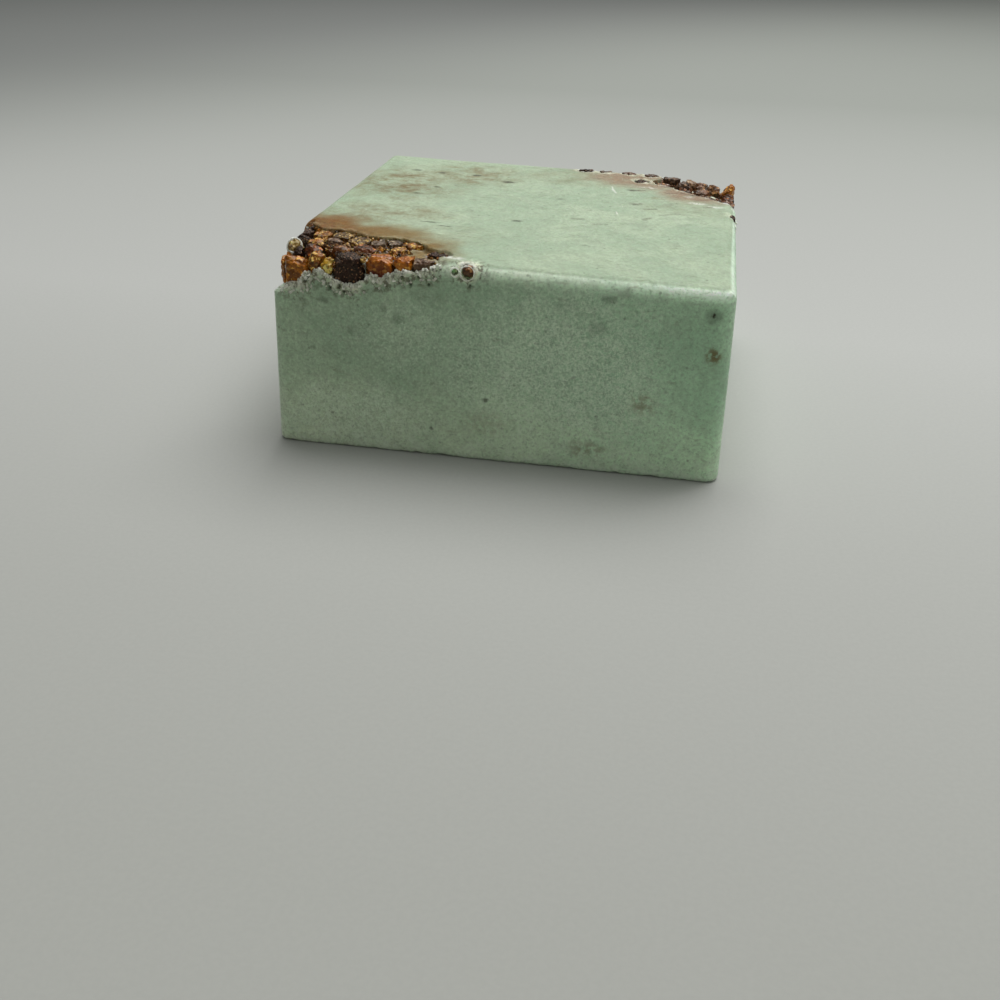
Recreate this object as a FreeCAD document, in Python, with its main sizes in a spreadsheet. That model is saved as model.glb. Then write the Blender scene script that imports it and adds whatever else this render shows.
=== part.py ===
"""Square hand-poured bar of soap with rough lumps of tree resin set in two opposite corners.

The soap was poured over the lumps in a square mould with sloping walls, then turned out upside down, so the
resin lies at the top face and the wider face, where it was poured, is the base.  Origin: centre of the base.
The near cluster is at the corner -X -Y, the far cluster at the corner +X +Y.  All sizes are in millimetres.
"""
import FreeCAD, Part

import math
import os
import random
from dataclasses import dataclass

import Sketcher
from FreeCAD import Vector

OUTPUT_FOLDER = "parts"

# Driving dimensions of the bar.
SIZES = {
    # The moulded block
    "base_side": 66.0,
    "height_left": 29.7,
    "height_right": 28.3,
    "draft_angle": 1.2,
    "corner_radius": 2.0,
    "top_rim_radius": 0.9,
    "base_rim_radius": 0.5,
    # How far the soap is missing behind the surface of the block where the resin shows
    "near_top_recess": 1.3,
    "near_front_recess": 1.7,
    "near_side_recess": 2.4,
    "near_corner_recess": 2.8,
    "far_top_recess": 1.3,
    "far_corner_recess": 2.8,
    "far_back_recess": 1.8,
    "far_side_recess": 1.6,
    # How far the lumps stay behind the surface of the block
    "near_front_inset": 0.35,
    "near_side_inset": 1.1,
    "near_top_inset": 0.25,
    "far_back_inset": 0.5,
    "far_side_inset": 0.2,
    "far_top_inset": 0.15,
    # How much a lump outgrows its table size before its neighbours flatten it, and the soap left between two
    "lump_growth": 1.25,
    "soap_web": 0.25,
    # The shallowest nick that a plane takes off a lump
    "smallest_nick": 0.04,
    # The single granule in its socket in the front rim, and the empty pit beside it
    "socket_along": 29.0,
    "socket_diameter": 2.0,
    "socket_depth": 1.7,
    "socket_drop": 1.1,
    "pit_gap": 0.2,
    "pit_diameter": 1.1,
    "pit_depth": 1.5,
    # The single crumb in the right rim of the top face
    "crumb_back": 26.0,
    "crumb_notch": 1.0,
}


@dataclass(frozen=True)
class Lump:
    """One resin lump, placed from the sharp corner of the block that its cluster fills.

    along is measured from the side face, back from the front or back face, down from the top face.
    proud is how far it stands out of the top face, for a lump outside the places without soap.
    """

    name: str
    along: float
    back: float
    down: float
    length: float
    width: float
    height: float
    turn: float = 0.0
    facets: int = 14
    proud: float = 0.0


NEAR_LUMPS = [
    # Front row, seen in the front face
    Lump("amber_lump_front", 4.2, 2.6, 3.7, 4.2, 3.6, 3.6, 10, 18),
    Lump("amber_lump_corner", 2.2, 3.0, 4.0, 2.4, 2.8, 3.4, 30),
    Lump("brown_gold_lump_front", 7.1, 2.3, 2.2, 2.2, 2.4, 2.4, 15),
    Lump("yellow_gold_lump", 8.7, 2.0, 2.6, 1.8, 2.0, 2.4, 40),
    Lump("dark_lump_large", 11.6, 2.8, 3.0, 5.2, 4.4, 4.0, -8, 16),
    Lump("orange_lump_large", 16.6, 2.5, 2.0, 4.2, 3.6, 3.1, 0, 26),
    Lump("orange_lump_small", 19.9, 2.1, 1.1, 2.7, 2.4, 1.8, 12),
    Lump("grey_lump_front", 22.5, 1.9, 0.9, 2.8, 2.2, 1.9, -10),
    # Second row, seen in the top face behind the front rim
    Lump("amber_lump_small", 2.2, 5.2, 3.0, 2.0, 2.2, 1.8, 0, 18),
    Lump("pale_bead", 2.7, 6.0, 1.5, 1.9, 2.0, 1.9, 20, 20),
    Lump("dark_lump_small", 4.0, 4.2, 1.8, 1.5, 1.7, 1.6, 35),
    Lump("maroon_lump_small", 5.7, 4.4, 1.7, 2.4, 2.2, 2.0, 5),
    Lump("gold_lump_low", 5.6, 7.0, 1.4, 2.6, 2.4, 1.8, -15),
    Lump("black_brown_lump", 9.9, 4.9, 1.3, 2.2, 2.4, 2.0, 25),
    Lump("maroon_lump_long", 13.0, 5.6, 1.3, 3.4, 2.2, 2.2, -5),
    Lump("gold_lump_middle", 18.0, 6.2, 1.0, 2.5, 2.4, 1.9, 30),
    Lump("dark_sliver_top", 23.8, 5.4, 0.6, 2.6, 1.5, 1.2, -12),
    # Third row
    Lump("mauve_lump", 7.9, 7.9, 1.3, 2.2, 2.4, 2.0, 10),
    Lump("black_lump_low", 3.3, 8.6, 1.6, 2.0, 2.2, 2.0, -20),
    Lump("olive_gold_lump", 11.6, 8.8, 1.1, 3.4, 3.0, 2.2, 8, 16),
    Lump("grey_spike_left", 14.6, 8.4, 0.9, 1.9, 2.8, 2.0, -30, 11),
    Lump("grey_spike_right", 16.4, 9.2, 0.8, 2.0, 2.6, 1.9, 25, 11),
    Lump("gold_sliver", 19.3, 8.9, 0.7, 3.2, 2.0, 1.3, -10),
    # Back row
    Lump("gold_lump_bright", 5.5, 10.3, 1.1, 2.7, 2.7, 2.0, 15),
    Lump("gold_black_lump", 8.4, 10.4, 1.0, 3.2, 2.8, 2.2, -10, 16),
    Lump("black_lump_middle", 2.4, 10.7, 1.4, 2.8, 2.4, 2.2, 20),
    Lump("black_lump_back", 1.8, 13.2, 1.1, 2.4, 2.4, 2.0, -10),
    # Side face, low down
    Lump("mauve_lump_side", 2.3, 5.5, 5.3, 2.4, 3.0, 2.4, 10),
    Lump("brown_lump_side", 2.3, 8.8, 3.9, 2.2, 2.8, 2.4, 0),
    Lump("amber_lump_side", 2.3, 12.0, 3.1, 2.2, 2.6, 1.6, 15),
]

FAR_LUMPS = [
    # Around the corner, where the lumps stand free
    Lump("amber_shard", 1.9, 4.9, 1.6, 2.4, 2.0, 3.4, 20, 11),
    Lump("brown_lump_edge_right", 4.4, 5.4, 1.7, 2.4, 2.4, 2.2, -15),
    Lump("brown_lump_edge_middle", 6.7, 4.4, 1.6, 2.2, 2.4, 2.2, 25),
    Lump("brown_lump_edge_left", 8.8, 2.6, 1.6, 2.0, 2.4, 2.0, 0),
    Lump("dark_lump_corner", 2.4, 2.2, 3.8, 3.1, 2.9, 2.8, 10),
    Lump("dark_lump_back_low", 5.4, 2.0, 3.8, 2.6, 2.2, 2.4, -20),
    Lump("dark_lump_side_low", 1.9, 5.4, 4.3, 2.2, 2.6, 2.0, 15),
    Lump("red_brown_lump_edge", 1.8, 8.2, 2.2, 2.2, 2.8, 2.0, 8),
    Lump("red_brown_lump_side", 1.9, 11.8, 2.2, 2.4, 2.8, 2.2, -5),
    # Behind the corner, nearly flush with the top face
    Lump("brown_sliver_edge", 2.2, 16.4, 1.3, 2.8, 2.2, 1.4, 0),
    Lump("dark_knot", 6.6, 10.4, 1.2, 2.6, 2.6, 1.8, -10),
    Lump("thin_dark_lump", 9.4, 11.8, 0.7, 2.2, 1.6, 1.3, 15),
    Lump("thin_grey_lump", 5.2, 14.6, 1.1, 2.4, 1.8, 1.3, -5),
    Lump("black_lump_back_right", 10.0, 5.8, 1.2, 2.4, 2.4, 1.8, 20),
    Lump("black_lump_back_left", 12.1, 2.5, 0.9, 2.6, 2.4, 2.0, -15),
    Lump("flat_brown_lump", 13.4, 7.9, 0.8, 2.4, 2.0, 1.4, 10),
    Lump("flat_black_lump", 17.2, 7.6, 0.5, 2.4, 2.0, 1.2, -25, proud=0.1),
    Lump("dark_sliver_back", 15.9, 2.3, 0.6, 2.6, 1.8, 1.3, 5, proud=0.1),
    Lump("brown_lump_back", 20.0, 2.2, 0.5, 2.4, 1.8, 1.2, 0, proud=0.1),
    Lump("black_sliver_back", 27.8, 2.2, 0.5, 2.8, 1.7, 1.2, 5, proud=0.15),
    Lump("grey_sliver_back", 24.2, 2.1, 0.5, 2.2, 1.5, 1.1, -8, proud=0.1),
]

GRANULE_SIZE = (1.35, 1.9, 1.35)
CRUMB_SIZE = (1.3, 1.3, 1.3)

# Edges of the places without soap: distance from the corner, then from the other face or from the top
NEAR_TOP_EDGE = [
    (0.0, 16.4), (2.2, 14.6), (4.4, 12.4), (6.6, 12.1), (9.8, 12.0), (11.4, 10.6), (14.2, 10.2), (17.0, 10.5),
    (19.0, 10.1), (21.2, 8.4), (22.2, 6.9), (25.2, 6.6), (26.2, 4.8), (24.4, 3.4), (25.2, 0.0),
]
NEAR_CORNER_EDGE = [(0.0, 11.8), (3.6, 9.6), (5.2, 8.4), (7.4, 5.8), (9.6, 3.4), (13.6, 2.6), (14.2, 0.0)]
NEAR_FRONT_EDGE = [
    (0.0, 6.2), (2.0, 6.1), (2.8, 4.9), (4.6, 4.8), (5.2, 3.6), (6.0, 3.3), (6.6, 3.9), (7.2, 2.9),
    (8.2, 2.8), (9.5, 3.9), (11.6, 4.5), (14.3, 4.0), (15.3, 2.6), (16.7, 3.2), (18.9, 2.2), (21.3, 2.0),
    (23.8, 1.6), (25.2, 0.0),
]
NEAR_SIDE_EDGE = [
    (0.0, 6.4), (2.6, 6.8), (5.4, 6.9), (7.4, 6.2), (9.6, 5.3), (12.4, 4.4), (15.0, 2.1), (16.4, 0.0),
]
FAR_TOP_EDGE = [
    (0.0, 19.6), (3.2, 18.4), (5.4, 16.4), (7.8, 14.4), (10.4, 12.8), (12.2, 10.0), (14.8, 9.0), (15.4, 6.4),
    (13.8, 4.4), (14.0, 1.6), (12.4, 1.2), (12.0, 0.0),
]
FAR_CORNER_EDGE = [(0.0, 13.0), (3.4, 10.6), (5.4, 8.8), (7.6, 6.8), (9.0, 4.8), (10.6, 2.4), (10.8, 0.0)]
FAR_BACK_EDGE = [(0.0, 6.0), (4.2, 6.2), (7.8, 4.9), (9.6, 3.4), (11.4, 2.6), (12.2, 0.0)]
FAR_SIDE_EDGE = [(0.0, 6.0), (5.0, 6.2), (8.4, 4.8), (12.4, 4.2), (15.4, 2.6), (18.6, 1.8), (19.8, 0.0)]

# How far an outline runs past the block, so that the cut is open on that side
OVERRUN = 3.0
# Slack above the top face for the padding that the tilted cut takes off again
TOP_SLACK = 1.0
# Shares by which a facet lies inside the lump's ellipsoid, and the stray of its direction
FACET_DEPTH = (0.86, 1.0)
FACET_STRAY = 0.22
# How deep the crumb's notch is for its width
NOTCH_DEPTH_SHARE = 0.75
# How far the granule's centre lies behind the floor of its socket
GRANULE_SEAT = 0.2

NEAR = -1
FAR = 1
HALF = "Sizes.base_side / 2"
HIGHEST = "max(Sizes.height_left; Sizes.height_right)"
PLAN = "XY_Plane"
FRONT = "XZ_Plane"
SIDE = "YZ_Plane"


@dataclass(frozen=True)
class Recess:
    """A place at one corner where the soap is missing down to the plane of its sketch.

    floor is the expression of the sketch's offset, level the cell of the height at that corner, and
    towards_normal says whether the cut goes the way that the sketch faces.
    """

    name: str
    plane: str
    floor: str
    corner: int
    level: str
    edge: tuple
    towards_normal: bool


NEAR_LEVEL = "height_left"
FAR_LEVEL = "height_right"
RECESSES = [
    Recess("NearTop", PLAN, f"Sizes.{NEAR_LEVEL} - Sizes.near_top_recess", NEAR, NEAR_LEVEL,
           NEAR_TOP_EDGE, True),
    Recess("NearCorner", PLAN, f"Sizes.{NEAR_LEVEL} - Sizes.near_corner_recess", NEAR, NEAR_LEVEL,
           NEAR_CORNER_EDGE, True),
    Recess("NearFront", FRONT, f"{HALF} - Sizes.near_front_recess", NEAR, NEAR_LEVEL, NEAR_FRONT_EDGE, True),
    Recess("NearSide", SIDE, f"-{HALF} + Sizes.near_side_recess", NEAR, NEAR_LEVEL, NEAR_SIDE_EDGE, False),
    Recess("FarTop", PLAN, f"Sizes.{FAR_LEVEL} - Sizes.far_top_recess", FAR, FAR_LEVEL, FAR_TOP_EDGE, True),
    Recess("FarCorner", PLAN, f"Sizes.{FAR_LEVEL} - Sizes.far_corner_recess", FAR, FAR_LEVEL,
           FAR_CORNER_EDGE, True),
    Recess("FarBack", FRONT, f"-{HALF} + Sizes.far_back_recess", FAR, FAR_LEVEL, FAR_BACK_EDGE, False),
    Recess("FarSide", SIDE, f"{HALF} - Sizes.far_side_recess", FAR, FAR_LEVEL, FAR_SIDE_EDGE, True),
]


def make_sheet(doc):
    """Keep every driving dimension in a spreadsheet cell that has an alias."""
    sheet = doc.addObject("Spreadsheet::Sheet", "Sizes")
    for row, (name, value) in enumerate(SIZES.items(), start=1):
        sheet.set(f"A{row}", name)
        sheet.set(f"B{row}", str(value))
        sheet.setAlias(f"B{row}", name)
    doc.recompute()
    return sheet


def origin_plane(body, role):
    """Give one of the three planes of the body's own origin."""
    return next(item for item in body.Origin.OriginFeatures if item.Role == role)


def new_sketch(body, name, role, offset):
    """Add a sketch parallel to an origin plane, at the distance that the expression offset gives."""
    sketch = body.newObject("Sketcher::SketchObject", name)
    sketch.AttachmentSupport = (origin_plane(body, role), [""])
    sketch.MapMode = "FlatFace"
    sketch.setExpression(".AttachmentOffset.Base.z", offset)
    return sketch


def draw_outline(sketch, corners):
    """Draw a closed outline whose corners are pairs of expressions, each bound by two distances."""
    count = len(corners)
    start_points = []
    for number in range(count):
        angle = 2 * math.pi * number / count
        start_points.append(Vector(math.cos(angle), math.sin(angle), 0))
    for number in range(count):
        sketch.addGeometry(Part.LineSegment(start_points[number], start_points[(number + 1) % count]), False)
    for number in range(count):
        sketch.addConstraint(Sketcher.Constraint("Coincident", number, 2, (number + 1) % count, 1))
    for number, (across, upward) in enumerate(corners):
        for kind, expression in (("DistanceX", across), ("DistanceY", upward)):
            index = sketch.addConstraint(Sketcher.Constraint(kind, -1, 1, number, 1, 1.0))
            sketch.setExpression(f"Constraints[{index}]", expression)


def cut_pocket(doc, body, sketch, name, towards_normal, midplane=False, length=None):
    """Cut the sketch out of the block, through all of it or to a length, and make sure that soap went."""
    before = body.Shape.Volume
    pocket = body.newObject("PartDesign::Pocket", name)
    pocket.Profile = sketch
    if length is None:
        pocket.Type = "ThroughAll"
    else:
        pocket.setExpression("Length", length)
    pocket.Midplane = midplane
    pocket.Reversed = towards_normal
    doc.recompute()
    if not body.Shape.Volume < before:
        raise RuntimeError(f"{name} cuts nothing")
    return pocket


def round_edges(doc, body, base, name, wanted, radius):
    """Round the edges of the feature base that the test wanted picks."""
    picked = [f"Edge{number}" for number, edge in enumerate(base.Shape.Edges, start=1) if wanted(edge)]
    fillet = body.newObject("PartDesign::Fillet", name)
    fillet.Base = (base, picked)
    fillet.setExpression("Radius", radius)
    doc.recompute()
    return fillet


def corner_outline(recess):
    """Close a recess's edge into an outline around its corner, as pairs of expressions."""
    start = f"-{HALF}" if recess.corner == NEAR else HALF
    inward = "+" if recess.corner == NEAR else "-"

    def across(distance):
        return f"{start} {inward} {distance}"

    def upright(distance):
        return across(distance) if recess.plane == PLAN else f"Sizes.{recess.level} - {distance}"

    outside = -OVERRUN
    corners = [(across(outside), upright(outside)), (across(outside), upright(recess.edge[0][1]))]
    corners += [(across(along), upright(distance)) for along, distance in recess.edge]
    corners.append((across(recess.edge[-1][0]), upright(outside)))
    return corners


def make_block(doc):
    """Build the moulded block: tapered, tilted on top, rounded, and open where the resin shows."""
    body = doc.addObject("PartDesign::Body", "MouldedBlock")
    outline = new_sketch(body, "BaseOutline", PLAN, "0")
    draw_outline(outline, [(f"-{HALF}", f"-{HALF}"), (HALF, f"-{HALF}"), (HALF, HALF), (f"-{HALF}", HALF)])
    pad = body.newObject("PartDesign::Pad", "TaperedPad")
    pad.Profile = outline
    pad.setExpression("Length", f"{HIGHEST} + {TOP_SLACK}")
    pad.setExpression("TaperAngle", "-Sizes.draft_angle")
    doc.recompute()

    def is_upright(edge):
        return abs(edge.Vertexes[0].Z - edge.Vertexes[-1].Z) > SIZES["corner_radius"]

    round_edges(doc, body, pad, "RoundedCorners", is_upright, "Sizes.corner_radius")
    slope = new_sketch(body, "TopSlope", FRONT, "0")
    above = f"{HIGHEST} + {TOP_SLACK + OVERRUN}"
    draw_outline(slope, [(f"-{HALF}", "Sizes.height_left"), (HALF, "Sizes.height_right"), (HALF, above),
                         (f"-{HALF}", above)])
    tilted = cut_pocket(doc, body, slope, "TiltedTop", False, midplane=True)
    halfway = min(SIZES["height_left"], SIZES["height_right"]) / 2

    def is_top_rim(edge):
        return min(vertex.Z for vertex in edge.Vertexes) > halfway

    def is_base_rim(edge):
        return max(vertex.Z for vertex in edge.Vertexes) < halfway

    top_rim = round_edges(doc, body, tilted, "TopRim", is_top_rim, "Sizes.top_rim_radius")
    round_edges(doc, body, top_rim, "BaseRim", is_base_rim, "Sizes.base_rim_radius")
    for recess in RECESSES:
        sketch = new_sketch(body, f"{recess.name}Outline", recess.plane, recess.floor)
        draw_outline(sketch, corner_outline(recess))
        cut_pocket(doc, body, sketch, f"{recess.name}Recess", recess.towards_normal)
    make_sockets(doc, body)
    make_notch(doc, body)
    return body


def make_sockets(doc, body):
    """Cut the round socket of the single granule and the empty pit beside it into the front rim."""
    rise = "(Sizes.height_right - Sizes.height_left) * Sizes.socket_along / Sizes.base_side"
    level = f"Sizes.height_left + {rise} - Sizes.socket_drop"
    pit_along = "(Sizes.socket_along - Sizes.socket_diameter / 2 - Sizes.pit_gap - Sizes.pit_diameter / 2)"
    holes = [
        ("Socket", "Sizes.socket_along", "Sizes.socket_diameter", "Sizes.socket_depth"),
        ("Pit", pit_along, "Sizes.pit_diameter", "Sizes.pit_depth"),
    ]
    for name, along, diameter, depth in holes:
        sketch = new_sketch(body, f"{name}Outline", FRONT, f"{HALF} - {depth}")
        sketch.addGeometry(Part.Circle(Vector(0, 1, 0), Vector(0, 0, 1), 1), False)
        bound = [
            (Sketcher.Constraint("DistanceX", -1, 1, 0, 3, 1.0), f"-{HALF} + {along}"),
            (Sketcher.Constraint("DistanceY", -1, 1, 0, 3, 1.0), level),
            (Sketcher.Constraint("Diameter", 0, 1.0), diameter),
        ]
        for constraint, expression in bound:
            index = sketch.addConstraint(constraint)
            sketch.setExpression(f"Constraints[{index}]", expression)
        cut_pocket(doc, body, sketch, f"{name}Hole", True)


def make_notch(doc, body):
    """Cut the small notch of the crumb into the right rim of the top face."""
    width = "Sizes.crumb_notch"
    notch = new_sketch(body, "NotchOutline", FRONT, f"-{HALF} + Sizes.crumb_back - {width} / 2")
    inner = f"{HALF} - {width}"
    bottom = f"Sizes.height_right - {width} * {NOTCH_DEPTH_SHARE}"
    outside = f"{HALF} + {OVERRUN}"
    above = f"Sizes.height_right + {OVERRUN}"
    draw_outline(notch, [(inner, above), (inner, bottom), (outside, bottom), (outside, above)])
    cut_pocket(doc, body, notch, "CrumbNotch", True, length=width)


class Envelope:
    """The faces and rounded edges of the block around one corner as planes, which no lump passes."""

    def __init__(self, corner, face_inset, side_inset, top_inset):
        """Set up the planes, each as its outward normal and its distance from the origin."""
        draft = math.radians(SIZES["draft_angle"])
        fall = (SIZES["height_left"] - SIZES["height_right"]) / SIZES["base_side"]
        half = SIZES["base_side"] / 2
        middle_height = (SIZES["height_left"] + SIZES["height_right"]) / 2
        face = Vector(0, corner * math.cos(draft), math.sin(draft))
        side = Vector(corner * math.cos(draft), 0, math.sin(draft))
        top = Vector(fall, 0, 1).normalize()
        wall_distance = half * math.cos(draft)
        top_distance = middle_height * top.z
        corner_radius = SIZES["corner_radius"]
        rim_radius = SIZES["top_rim_radius"]
        self.top_inset = top_inset
        self.planes = [
            (face, wall_distance - face_inset),
            (side, wall_distance - side_inset),
            (top, top_distance - top_inset),
            self.rounding(face, wall_distance, side, wall_distance, corner_radius,
                          max(face_inset, side_inset)),
            self.rounding(face, wall_distance, top, top_distance, rim_radius, max(face_inset, top_inset)),
            self.rounding(side, wall_distance, top, top_distance, rim_radius, max(side_inset, top_inset)),
        ]

    @staticmethod
    def rounding(first, first_distance, second, second_distance, radius, inset):
        """Give the plane that touches the rounded edge between two faces halfway round, moved in by inset."""
        middle = (first + second).normalize()
        cosine = first.dot(middle)
        sharp_edge = (first_distance + second_distance) / (2 * cosine)
        return middle, sharp_edge - radius * (1 / cosine - 1) - inset


class RoughSolid:
    """A convex solid with flat facets, cut down from a cube plane by plane."""

    TOLERANCE = 1e-6

    def __init__(self, centre, reach):
        """Start from a cube around centre."""
        low, high = -reach, reach
        points = [centre + Vector(x, y, z) for z in (low, high) for y in (low, high) for x in (low, high)]
        loops = [(0, 2, 3, 1), (4, 5, 7, 6), (0, 1, 5, 4), (2, 6, 7, 3), (0, 4, 6, 2), (1, 3, 7, 5)]
        self.faces = [[points[index] for index in loop] for loop in loops]

    def clip(self, normal, distance):
        """Keep what lies behind the plane with this outward normal and distance from the origin."""
        nick = max(normal.dot(point) for face in self.faces for point in face) - distance
        if nick < SIZES["smallest_nick"]:
            return
        kept_faces = []
        rim = []
        for face in self.faces:
            kept = []
            for index, point in enumerate(face):
                following = face[(index + 1) % len(face)]
                here = normal.dot(point) - distance
                there = normal.dot(following) - distance
                if here <= 0:
                    kept.append(point)
                if (here < 0 < there) or (there < 0 < here):
                    crossing = point + (following - point) * (here / (here - there))
                    kept.append(crossing)
                    rim.append(crossing)
            if len(kept) > 2:
                kept_faces.append(kept)
        if rim:
            kept_faces.append(self.around(rim, normal))
        self.faces = kept_faces

    def around(self, points, normal):
        """Order the corners of a new facet around its outward normal, each corner once."""
        single = []
        for point in points:
            if all((point - other).Length > self.TOLERANCE for other in single):
                single.append(point)
        middle = sum(single, Vector()) * (1 / len(single))
        first = (single[0] - middle).normalize()
        second = normal.cross(first)

        def turn(point):
            spoke = point - middle
            return math.atan2(spoke.dot(second), spoke.dot(first))

        return sorted(single, key=turn)

    def shape(self):
        """Sew the facets to a solid."""
        facets = [Part.Face(Part.makePolygon(face + [face[0]])) for face in self.faces]
        return Part.Solid(Part.Shell(facets))


def facet_directions(count, chance):
    """Spread directions over a sphere, each a little out of place, as a broken grain's facets are."""
    golden_turn = math.pi * (3 - math.sqrt(5))
    directions = []
    for number in range(count):
        level = 1 - 2 * (number + 0.5) / count
        ring = math.sqrt(1 - level * level)
        turn = number * golden_turn
        stray = Vector(chance.uniform(-1, 1), chance.uniform(-1, 1), chance.uniform(-1, 1)) * FACET_STRAY
        directions.append((Vector(ring * math.cos(turn), ring * math.sin(turn), level) + stray).normalize())
    return directions


def lump_centre(lump, corner):
    """Find a lump's centre from its corner of the block and the height of the top face above it."""
    half = SIZES["base_side"] / 2
    x = corner * (half - lump.along)
    y = corner * (half - lump.back)
    share = (x + half) / SIZES["base_side"]
    top = SIZES["height_left"] + (SIZES["height_right"] - SIZES["height_left"]) * share
    return Vector(x, y, top - lump.down)


def mean_radius(lump):
    """Give the radius of a ball about as large as the lump."""
    return (lump.length + lump.width + lump.height) / 6


def shape_lump(lump, centre, neighbours, envelope):
    """Give a lump its facets, part it from its neighbours and keep it within the block."""
    growth = SIZES["lump_growth"]
    rough = RoughSolid(centre, max(lump.length, lump.width, lump.height) * growth)
    turned_back = FreeCAD.Rotation(Vector(0, 0, 1), -lump.turn)
    chance = random.Random(lump.name)
    for direction in facet_directions(lump.facets, chance):
        local = turned_back.multVec(direction)
        reach = Vector(local.x * lump.length, local.y * lump.width, local.z * lump.height).Length / 2
        rough.clip(direction, direction.dot(centre) + reach * growth * chance.uniform(*FACET_DEPTH))
    for other, other_centre in neighbours:
        apart = other_centre - centre
        span = apart.Length
        parting = (span ** 2 + mean_radius(lump) ** 2 - mean_radius(other) ** 2) / (2 * span)
        direction = apart * (1 / span)
        rough.clip(direction, direction.dot(centre) + parting - SIZES["soap_web"] / 2)
    raised = lump.proud + envelope.top_inset if lump.proud else 0.0
    for normal, distance in envelope.planes:
        rough.clip(normal, distance + raised * normal.z)
    return rough.shape()


def single_grains():
    """Describe the granule in its socket and the crumb in its notch."""
    notch = SIZES["crumb_notch"]
    granule = Lump("edge_granule", SIZES["socket_along"], SIZES["socket_depth"] + GRANULE_SEAT,
                   SIZES["socket_drop"], *GRANULE_SIZE, facets=24)
    crumb = Lump("edge_crumb", notch, SIZES["crumb_back"], notch * NOTCH_DEPTH_SHARE, *CRUMB_SIZE, facets=12)
    return granule, crumb


def make_lumps(doc):
    """Build every resin lump as an object of its own."""
    near_insets = (SIZES["near_front_inset"], SIZES["near_side_inset"], SIZES["near_top_inset"])
    far_insets = (SIZES["far_back_inset"], SIZES["far_side_inset"], SIZES["far_top_inset"])
    granule, crumb = single_grains()
    clusters = [(NEAR, near_insets, NEAR_LUMPS + [granule]), (FAR, far_insets, FAR_LUMPS + [crumb])]
    features = []
    for corner, insets, lumps in clusters:
        envelope = Envelope(corner, *insets)
        placed = [(lump, lump_centre(lump, corner)) for lump in lumps]
        for lump, centre in placed:
            neighbours = [(other, place) for other, place in placed if other is not lump]
            feature = doc.addObject("Part::Feature", lump.name)
            feature.Label = lump.name
            feature.Shape = shape_lump(lump, centre, neighbours, envelope)
            feature.Placement = FreeCAD.Placement()
            features.append(feature)
    doc.recompute()
    return features


def make_soap(doc, block, lumps):
    """Take the lumps out of the block, so that each sits in a pocket of its own form."""
    bedding = doc.addObject("Part::Compound", "ResinBedding")
    bedding.Links = lumps
    soap = doc.addObject("Part::Cut", "soap_block")
    soap.Base = block
    soap.Tool = bedding
    soap.Label = "soap_block"
    doc.recompute()
    return soap


def check_objects(doc, nodes):
    """Stop if any object failed or a piece isn't one sound solid."""
    for item in doc.Objects:
        if "Invalid" in item.State or "Error" in item.State:
            raise RuntimeError(f"{item.Name} is in state {item.State}")
    for node in nodes:
        if node.Shape.isNull() or not node.Shape.isValid():
            raise RuntimeError(f"{node.Label} isn't valid")
        if len(node.Shape.Solids) != 1:
            raise RuntimeError(f"{node.Label} has {len(node.Shape.Solids)} solids, not one")


def main():
    """Build the document and write one STEP file for each piece."""
    doc = FreeCAD.newDocument("SoapBar")
    make_sheet(doc)
    block = make_block(doc)
    lumps = make_lumps(doc)
    soap = make_soap(doc, block, lumps)
    nodes = [soap] + lumps
    check_objects(doc, nodes)
    os.makedirs(OUTPUT_FOLDER, exist_ok=True)
    for node in nodes:
        node.Shape.exportStep(f"{OUTPUT_FOLDER}/{node.Label}.step")
        print(f"{node.Label}: {node.Shape.Volume:.2f} cubic mm, {len(node.Shape.Faces)} faces")


main()
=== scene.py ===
"""Studio scene of a square hand-poured bar of soap with rough lumps of tree resin in two opposite corners.

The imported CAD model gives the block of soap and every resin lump.  Each of them is worked up here: the soap
gets its crumbled rims, chipped base edge, stains and bloom, and each lump its broken, weathered skin.  Shapes
are worked in millimetres and brought to metres when they are placed.
"""

import logging
import math
from dataclasses import dataclass, field
from enum import Enum

import bmesh
import bpy
import numpy as np
from mathutils import Matrix, Vector
from mathutils.bvhtree import BVHTree


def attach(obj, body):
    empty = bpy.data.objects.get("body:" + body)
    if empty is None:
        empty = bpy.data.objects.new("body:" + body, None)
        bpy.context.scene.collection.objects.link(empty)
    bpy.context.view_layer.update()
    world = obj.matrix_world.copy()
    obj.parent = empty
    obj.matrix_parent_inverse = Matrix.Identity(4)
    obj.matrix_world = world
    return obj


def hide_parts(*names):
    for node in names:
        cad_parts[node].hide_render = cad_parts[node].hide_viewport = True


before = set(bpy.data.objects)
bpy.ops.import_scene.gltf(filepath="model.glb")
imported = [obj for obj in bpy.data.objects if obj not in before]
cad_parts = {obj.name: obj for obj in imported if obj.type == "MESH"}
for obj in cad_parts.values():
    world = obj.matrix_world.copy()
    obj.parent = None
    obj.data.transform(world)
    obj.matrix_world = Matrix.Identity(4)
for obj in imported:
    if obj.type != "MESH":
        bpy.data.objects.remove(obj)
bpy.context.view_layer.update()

log = logging.getLogger("soap_bar")

MM = 0.001
BODY = "root"
WELD = 1e-4
Colour = tuple[float, float, float, float]
Place = tuple[float, float, float]


class Slot(Enum):
    """The record's material slots."""

    SOAP = "soap"
    AMBER = "amber_resin"
    GOLD = "gold_resin"
    BROWN = "brown_resin"
    DARK = "dark_resin"
    GREY = "grey_resin"


def paint(red: int, green: int, blue: int) -> Colour:
    """Turn a colour given 0 to 255 a channel into the linear colour of a shader.

    Args:
        red: Red as shown on a screen.
        green: Green as shown on a screen.
        blue: Blue as shown on a screen.

    Returns:
        The linear colour with full opacity.
    """

    def linear(value: int) -> float:
        share = value / 255
        return share / 12.92 if share <= 0.04045 else ((share + 0.055) / 1.055) ** 2.4

    return linear(red), linear(green), linear(blue), 1.0


# Noise and mesh handling


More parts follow.
